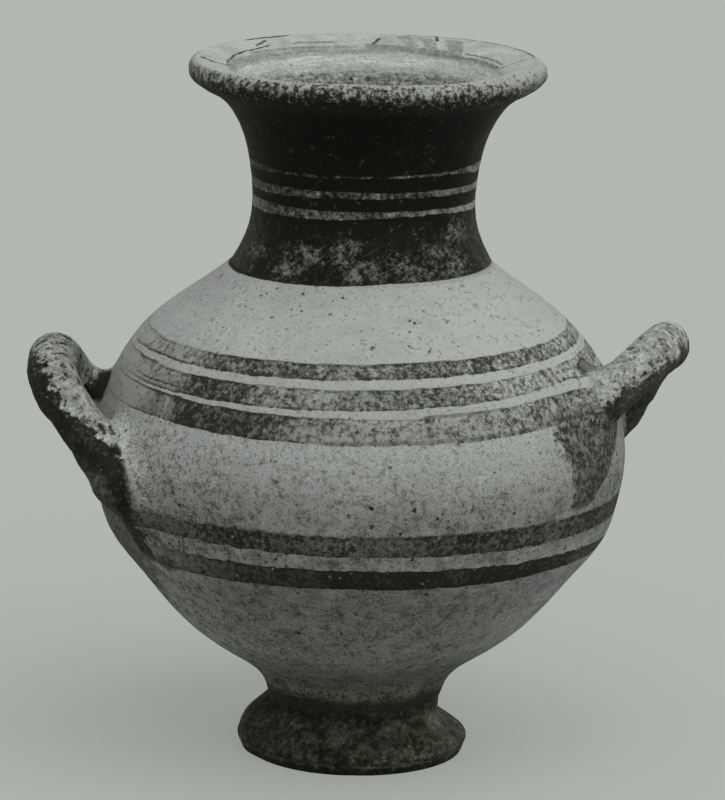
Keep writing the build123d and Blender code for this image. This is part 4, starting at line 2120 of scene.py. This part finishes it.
# Soft shades on the rim: radius, first turn, last turn, half the width and tone
RIM_SHADES = (
    (86, -176, -124, 1.3, 0.52),
    (83, -150, -106, 0.9, 0.4),
    (91.5, -168, -150, 1, 0.46),
    (86.8, 138, 180, 2.2, 0.47),
    (84.6, 104, 160, 1.5, 0.46),
    (88.4, 104, 134, 0.8, 0.44),
)

# Where the slip under the lip ends, by turn
LIP_SLIP_EDGE = (
    (-180, 432), (-95, 436), (-75, 437.6), (-55, 437.2), (-40, 436.4), (-30, 436.6), (-20, 437.5),
    (0, 437.8), (10, 435), (20, 432), (30, 434), (40, 432.5), (60, 430.5), (75, 429), (180, 432),
)


@dataclass(frozen=True)
class BareLip(Finish):
    """The lip: pale and rubbed on top, pitted outside, with slip left on its underside."""

    name: str = "rubbed_lip"
    slip: float = 0.115
    soot: float = 0.53
    stroke_tone: float = 0.27

    def relief(self, skin: Skin) -> Number:
        """Coarser than the body: the edge is rubbed down to the grit.

        Args:
            skin: The shaded point.

        Returns:
            The relief.
        """
        coarse = skin.cloud(3.4, 24, 4, 0.7) * 0.9
        pits = skin.grit.specks(0.3, 0.55) * 0.3
        return Finish.relief(self, skin) + (coarse - pits) * skin.from_axis.rises(100, 108)

    def bars(self, skin: Skin) -> Number:
        """Three sooty patches side by side on the rim, at the back right.

        Args:
            skin: The shaded point.

        Returns:
            The soot, between 0 and 1.
        """
        slant = skin.turn - (skin.from_axis - 98) * 0.5 + skin.ragged * 2
        across = skin.from_axis.rises(84.5, 86.5) * skin.from_axis.rises(103.5, 101.5)
        return skin.profile(slant, SOOT_BARS, 0, 1) * across

    def drawn(self, skin: Skin) -> Number:
        """The thin dark lines that lie on the rim."""
        arcs = [skin.arc(*arc) for arc in RIM_ARCS]
        return most_of([*arcs, *(skin.stroke(*run) for run in RIM_STROKES)])

    def rim(self, skin: Skin) -> Number:
        """The top of the rim, with the soot and strokes that lie on it.

        Args:
            skin: The shaded point.

        Returns:
            The tone.
        """
        tone = skin.wide * 0.16 + skin.mottle * 0.16 + skin.fine * 0.14 + skin.broad * 0.10 + 0.655
        rings = skin.streak(3.6, 92.5, (0.22, 0.22, 0.22))
        back = skin.y.rises(10, 40)
        tone = tone + rings * (back * 0.16 + 0.04)
        shades = [(skin.arc(*arc), arc_tone) for *arc, arc_tone in RIM_SHADES]
        shades += [(self.bars(skin), self.soot), (self.drawn(skin), self.stroke_tone)]
        for mark, mark_tone in shades:
            tone = tone.towards(skin.mottle * 0.5 + mark_tone, mark * 0.85)
        return tone

    def tone(self, skin: Skin) -> Number:
        """Pale top, slip below a ragged edge outside with painted sheen at its sides, and the throat.

        Args:
            skin: The shaded point.

        Returns:
            The tone.
        """
        edge = skin.profile(skin.turn, LIP_SLIP_EDGE, 420, 440)
        blotches = skin.mottle * 4.2 + skin.fine * 1.6 + skin.ragged * 1.3 + skin.wide
        below = ((edge - skin.z) * 0.075 + 0.45 + blotches).most(0).least(1)
        under = skin.z.rises(430, 426) * skin.from_axis.rises(87, 90)
        outside = skin.from_axis.rises(103, 107).most(under)
        tone = self.rim(skin)
        pits = skin.grit.specks(skin.from_axis.rises(102.5, 108) * 0.30, 0.55)
        tone = tone - pits * 0.30
        # Painted sheen: the slip under the lip is lighter towards both sides, where it turns away from view
        slip = skin.wear * 0.08 + self.slip + skin.turn.size().rises(40, 78) * 0.16
        tone = tone.towards(slip, below * outside)
        return tone.towards(throat_tone(skin), skin.from_axis.rises(85.5, 83.5))


# The foot's slip by height
FOOT_TONES = (
    (0, 0.1), (3.4, 0.11), (5, 0.19), (9, 0.18), (16, 0.19), (28, 0.2), (32, 0.145), (34.5, 0.14),
    (38, 0.19),
)

# The foot's radius by height, a little less than its outer face
FOOT_OUTSIDE = ((0, 58), (8, 62), (20, 54), (36, 45))


@dataclass(frozen=True)
class FootSlip(Finish):
    """Dull black slip, rubbed along the toe, over a bare underside."""

    name: str = "foot_slip"

    def relief(self, skin: Skin) -> Number:
        """Coarser than the body."""
        return Finish.relief(self, skin) * 1.6 + skin.ragged

    def tone(self, skin: Skin) -> Number:
        """Slip by height, mottled, with lighter specks on the right.

        Args:
            skin: The shaded point.

        Returns:
            The tone.
        """
        tone = skin.profile(skin.z + skin.ragged * 4, FOOT_TONES, 0, 0.4)
        tone = tone + skin.turn.rises(10, 70) * 0.08
        tone = tone + skin.wear * 0.19 + skin.ragged * 0.26 - skin.blotch * 0.035
        toe = (skin.z + skin.ragged * 3 - 5.8).size().rises(1.5, 0.5) * skin.wide.rises(-0.08, 0.02)
        tone = tone + toe * 0.10
        tone = tone.towards(0.12, skin.patch(48, 25.4, 8, 2.4, 1.4) * 0.8)
        tone = tone + skin.patch(64, 24, 12, 6, 0.8) * 0.07
        worn = skin.z.rises(13, 9) * skin.z.rises(2.5, 5) * skin.turn.rises(6, 24)
        tone = tone.towards(0.40, skin.worn(0.10, 1.2) * worn)
        specks = skin.grit.specks(skin.turn.rises(20, 70) * 0.14 + 0.06, 0.5)
        tone = tone + specks * 0.12
        bare = skin.mottle * 0.2 + skin.wide * 0.1 + 0.5
        return tone.towards(bare, skin.within(FOOT_OUTSIDE, 40, 70))


# Pits and scratches on the handles: start, end, half the width and tone
HANDLE_SCARS = (
    ((-150.4, -81.4, 222.9), (-149, -83.2, 220.2), 2.4, 0.1),
    ((-147, -91, 214.2), (-146, -94.3, 211), 1.9, 0.12),
    ((-146.6, -101.6, 181), (-141.4, -95, 166), 0.9, 0.52),
    ((-157.5, -85.2, 225.5), (-154.5, -87.5, 221), 1.4, 0.14),
    ((172, -55, 251.5), (196, -24, 261.5), 1, 0.66),
    ((143, -74, 236.2), (158, -66, 236.8), 0.9, 0.26),
)


@dataclass(frozen=True)
class WornSlip(Finish):
    """The handles: slip left on their undersides, rubbed to bare clay on top, also painted light and shade.
    """

    name: str = "worn_slip"
    slip: float = 0.15
    bare: float = 0.585

    def relief(self, skin: Skin) -> Number:
        """Coarser than the body."""
        pits = skin.flakes.specks(0.30, 0.42, 0.5)
        return Finish.relief(self, skin) * 1.5 + skin.ragged * 0.9 - pits * 0.7

    def leans(self, skin: Skin, normal: Point3, offset: float) -> Number:
        """How far a point lies to the light side of a slanting plane."""
        return skin.place.dot(normal) + offset

    def rubbed(self, skin: Skin) -> Number:
        """How far inside the part that the hand has rubbed bare and that is painted as lit, in millimetres.

        Args:
            skin: The shaded point.

        Returns:
            The distance.
        """
        near_left = self.leans(skin, (0.863, 0.162, 0.479), 56.1)
        near_left = near_left.least(self.leans(skin, (0.593, 0.214, 0.776), -58.2))
        far_left = self.leans(skin, (0.798, 0.172, 0.577), -0.5)
        left = near_left.towards(far_left, skin.y.rises(-14, 4))
        right = self.leans(skin, (-0.599, 0.207, 0.774), -80.4)
        both = right.towards(left, skin.x.rises(20, -20))
        back = skin.y.rises(60, 90) * skin.x.size().rises(60, 40)
        return both.towards(skin.broad * 90 + 3, back)

    def scars(self, skin: Skin, tone: Number) -> Number:
        """The pits and scratches that are seen from the front.

        Args:
            skin: The shaded point.
            tone: The tone without them.

        Returns:
            The tone.
        """
        for *run, scar_tone in HANDLE_SCARS:
            tone = tone.towards(scar_tone, skin.stroke(*run) * 0.8)
        return tone

    def tone(self, skin: Skin) -> Number:
        """Slip, rubbed parts, chips and pits.

        Args:
            skin: The shaded point.

        Returns:
            The tone.
        """
        rubbed = self.rubbed(skin)
        # Painted light and shade as well as wear: bare clay on each bar's lit upper side, dark slip on its
        # shaded side
        rubbed_and_lit = (rubbed + skin.ragged * 22 + skin.mottle * 6).rises(-1.5, 1.5)
        right = skin.x.rises(-20, 20)
        crown = skin.z.rises(240, 254) * (1 - right)
        bare = skin.wear * 0.22 + skin.ragged * 0.35 + right * 0.03 - crown * 0.06 + self.bare
        near_edge = rubbed.rises(14, 2)
        dirt = skin.blotch * (near_edge * 0.14 + crown * 0.16 + 0.15)
        pits = skin.grit.specks(0.16, 0.5).most(skin.flakes.specks(0.32, 0.46, 0.5))
        bare = bare - dirt - pits * 0.24
        slip = skin.wear * (right * 0.10 + 0.09) + self.slip + right * 0.10
        chips = skin.grit.specks(0.10, 0.5, 0.5).most(skin.worn(-0.14, 1))
        slip = slip.towards(0.46, chips * 0.85)
        dusty = (self.leans(skin, (-0.928, 0, -0.371), -69.4) + skin.ragged * 12).rises(-2, 3)
        dusty = dusty * skin.z.rises(208, 188) * (1 - right)
        slip = slip.towards(skin.wear * 0.22 - skin.blotch * 0.10 + 0.38, dusty * 0.9)
        return self.scars(skin, slip.towards(bare, rubbed_and_lit))


# The jar's radius by height
JAR_OUTSIDE = (
    (120, 137), (147, 157), (166, 163), (194, 166.8), (222, 162.5), (250, 149.7), (269, 136),
    (288, 114), (303, 93), (320, 77), (352, 69), (390, 75),
)


@dataclass(frozen=True)
class RootClay(Finish):
    """Clay pressed round the roots, which takes the body's finish low down and the bar's higher up."""

    name: str = "luted_clay"

    def relief(self, skin: Skin) -> Number:
        """As rough as the handles."""
        return WornSlip.relief(self, skin)

    def tone(self, skin: Skin) -> Number:
        """The body's tone near the wall and the handle's away from it.

        Args:
            skin: The shaded point.

        Returns:
            The tone.
        """
        out = skin.from_axis - skin.profile(skin.z, JAR_OUTSIDE, 60, 170) + skin.ragged * 9
        handle = WornSlip().tone(skin) - out.rises(16, 5) * 0.06
        return BandedClay().tone(skin).towards(handle, out.rises(6.5, 10))


# Studio


@dataclass(frozen=True)
class Viewpoint:
    """Where the jar is seen from, in millimetres, degrees and pixels of the picture."""

    distance: float = 3033.7
    height: float = 911.4
    pitch: float = 12.762
    roll: float = 0.855
    focal_pixels: float = 4976.6
    centre_offset: float = -3.2
    picture_height: float = 800.0
    sensor: float = 36.0

    def place(self) -> None:
        """Make the camera."""
        data = bpy.data.cameras.new("viewpoint")
        data.sensor_width = self.sensor
        data.lens = self.focal_pixels / self.picture_height * self.sensor
        data.shift_x = -self.centre_offset / self.picture_height
        data.clip_end = 100.0
        camera = bpy.data.objects.new("viewpoint", data)
        pitch, roll = math.radians(self.pitch), math.radians(self.roll)
        forward = Vector((0.0, math.cos(pitch), -math.sin(pitch)))
        level_up = Vector((0.0, math.sin(pitch), math.cos(pitch)))
        level_right = Vector((1.0, 0.0, 0.0))
        right = level_right * math.cos(roll) + level_up * math.sin(roll)
        up = level_up * math.cos(roll) - level_right * math.sin(roll)
        turned = Matrix((right, up, -forward)).transposed().to_4x4()
        camera.matrix_world = Matrix.Translation(Vector((0.0, -self.distance, self.height)) * MM) @ turned
        bpy.context.scene.collection.objects.link(camera)
        bpy.context.scene.camera = camera


@dataclass(frozen=True)
class Studio:
    """The pale floor and the plain soft light."""

    floor_size: float = 12000.0
    floor_tone: float = 0.464
    floor_glow: float = 0.50
    floor_tint: Point3 = (0.988, 1.037, 0.975)
    floor_bounce: float = 0.10
    sun_from: Point3 = (0.35, -0.55, 1.0)
    sun_strength: float = 1.6
    sun_angle: float = 70.0
    sky_strength: float = 0.55

    def build(self) -> None:
        """Make the floor, the lamp and the sky."""
        half = self.floor_size / 2
        corners = [(-half, -half, 0), (half, -half, 0), (half, half, 0), (-half, half, 0)]
        floor = new_object("floor", corners, [], [(0, 1, 2, 3)])
        floor.data.materials.append(self.floor_material())
        world = bpy.data.worlds.new("sky")
        world.use_nodes = True
        sky = world.node_tree.nodes["Background"].inputs
        sky["Color"].default_value = self.grey(1.0)
        sky["Strength"].default_value = self.sky_strength
        bpy.context.scene.world = world
        lamp = bpy.data.lights.new("key", "SUN")
        lamp.energy = self.sun_strength
        lamp.angle = math.radians(self.sun_angle)
        key = bpy.data.objects.new("key", lamp)
        key.rotation_mode = "QUATERNION"
        key.rotation_quaternion = Vector(self.sun_from).to_track_quat("Z", "Y")
        bpy.context.scene.collection.objects.link(key)
        bpy.context.scene.view_settings.view_transform = "Standard"

    def floor_material(self) -> bpy.types.Material:
        """Plain pale paper, which the camera sees paler than the jar does.

        Returns:
            The material.
        """
        made = bpy.data.materials.new("floor_paper")
        made.use_nodes = True
        made.node_tree.nodes.clear()
        bench = Bench(made.node_tree)
        seen = tuple(self.floor_tone * part for part in self.floor_tint) + (1.0,)
        paper = bench.node("ShaderNodeBsdfDiffuse", {}, {"Color": seen})
        glow = bench.node("ShaderNodeEmission", {}, {"Color": seen, "Strength": 1.0})
        pale = bench.node("ShaderNodeMixShader", {}, {0: self.floor_glow, 1: paper, 2: glow})
        dull = bench.node("ShaderNodeBsdfDiffuse", {}, {"Color": self.grey(self.floor_bounce)})
        rays = bench.raw("ShaderNodeLightPath", {}, {})
        looking = bench.wrap(rays.outputs["Is Camera Ray"])
        for name in ("Is Glossy Ray", "Is Transmission Ray"):
            looking = looking.most(bench.wrap(rays.outputs[name]))
        floor = bench.node("ShaderNodeMixShader", {}, {0: looking, 1: dull, 2: pale})
        bench.raw("ShaderNodeOutputMaterial", {}, {"Surface": floor})
        return made

    @staticmethod
    def grey(tone: float) -> tuple[float, float, float, float]:
        """A neutral colour."""
        return (tone, tone, tone, 1.0)


def main() -> None:
    """Build the jar, piece by piece."""
    wall = PotWall()
    shop = Workshop(PotterHand(), wall)
    banded, slip, clay_slip = BandedClay(), WornSlip(), RootClay()
    Foot().build(shop, wall, FootSlip())
    Body().build(shop, wall, banded, NeckSlip())
    Lip().build(shop, wall, BareLip())
    left = CarryingHandle(
        side=Side.LEFT,
        near=Root(Depth.NEAR, angle=34.0, lift=-11.5),
        far=Root(Depth.FAR, angle=17.0, lift=3.0),
        bar_diameter=30.4,
        crown_lift=57.0,
        crown_setback=-12.0,
    )
    left.build(shop, wall, slip, clay_slip)
    right = CarryingHandle(
        side=Side.RIGHT,
        near=Root(Depth.NEAR, angle=21.0, lift=44.5),
        far=Root(Depth.FAR, angle=21.0, lift=2.5),
        bar_diameter=28.4,
        crown_lift=67.0,
        crown_setback=5.0,
    )
    right.build(shop, wall, slip, clay_slip)
    PouringHandle().build(shop, wall, slip, clay_slip)
    shop.clear()
    Studio().build()
    Viewpoint().place()


if __name__ == "__main__":
    logging.basicConfig(level=logging.INFO, format="%(message)s")
    main()
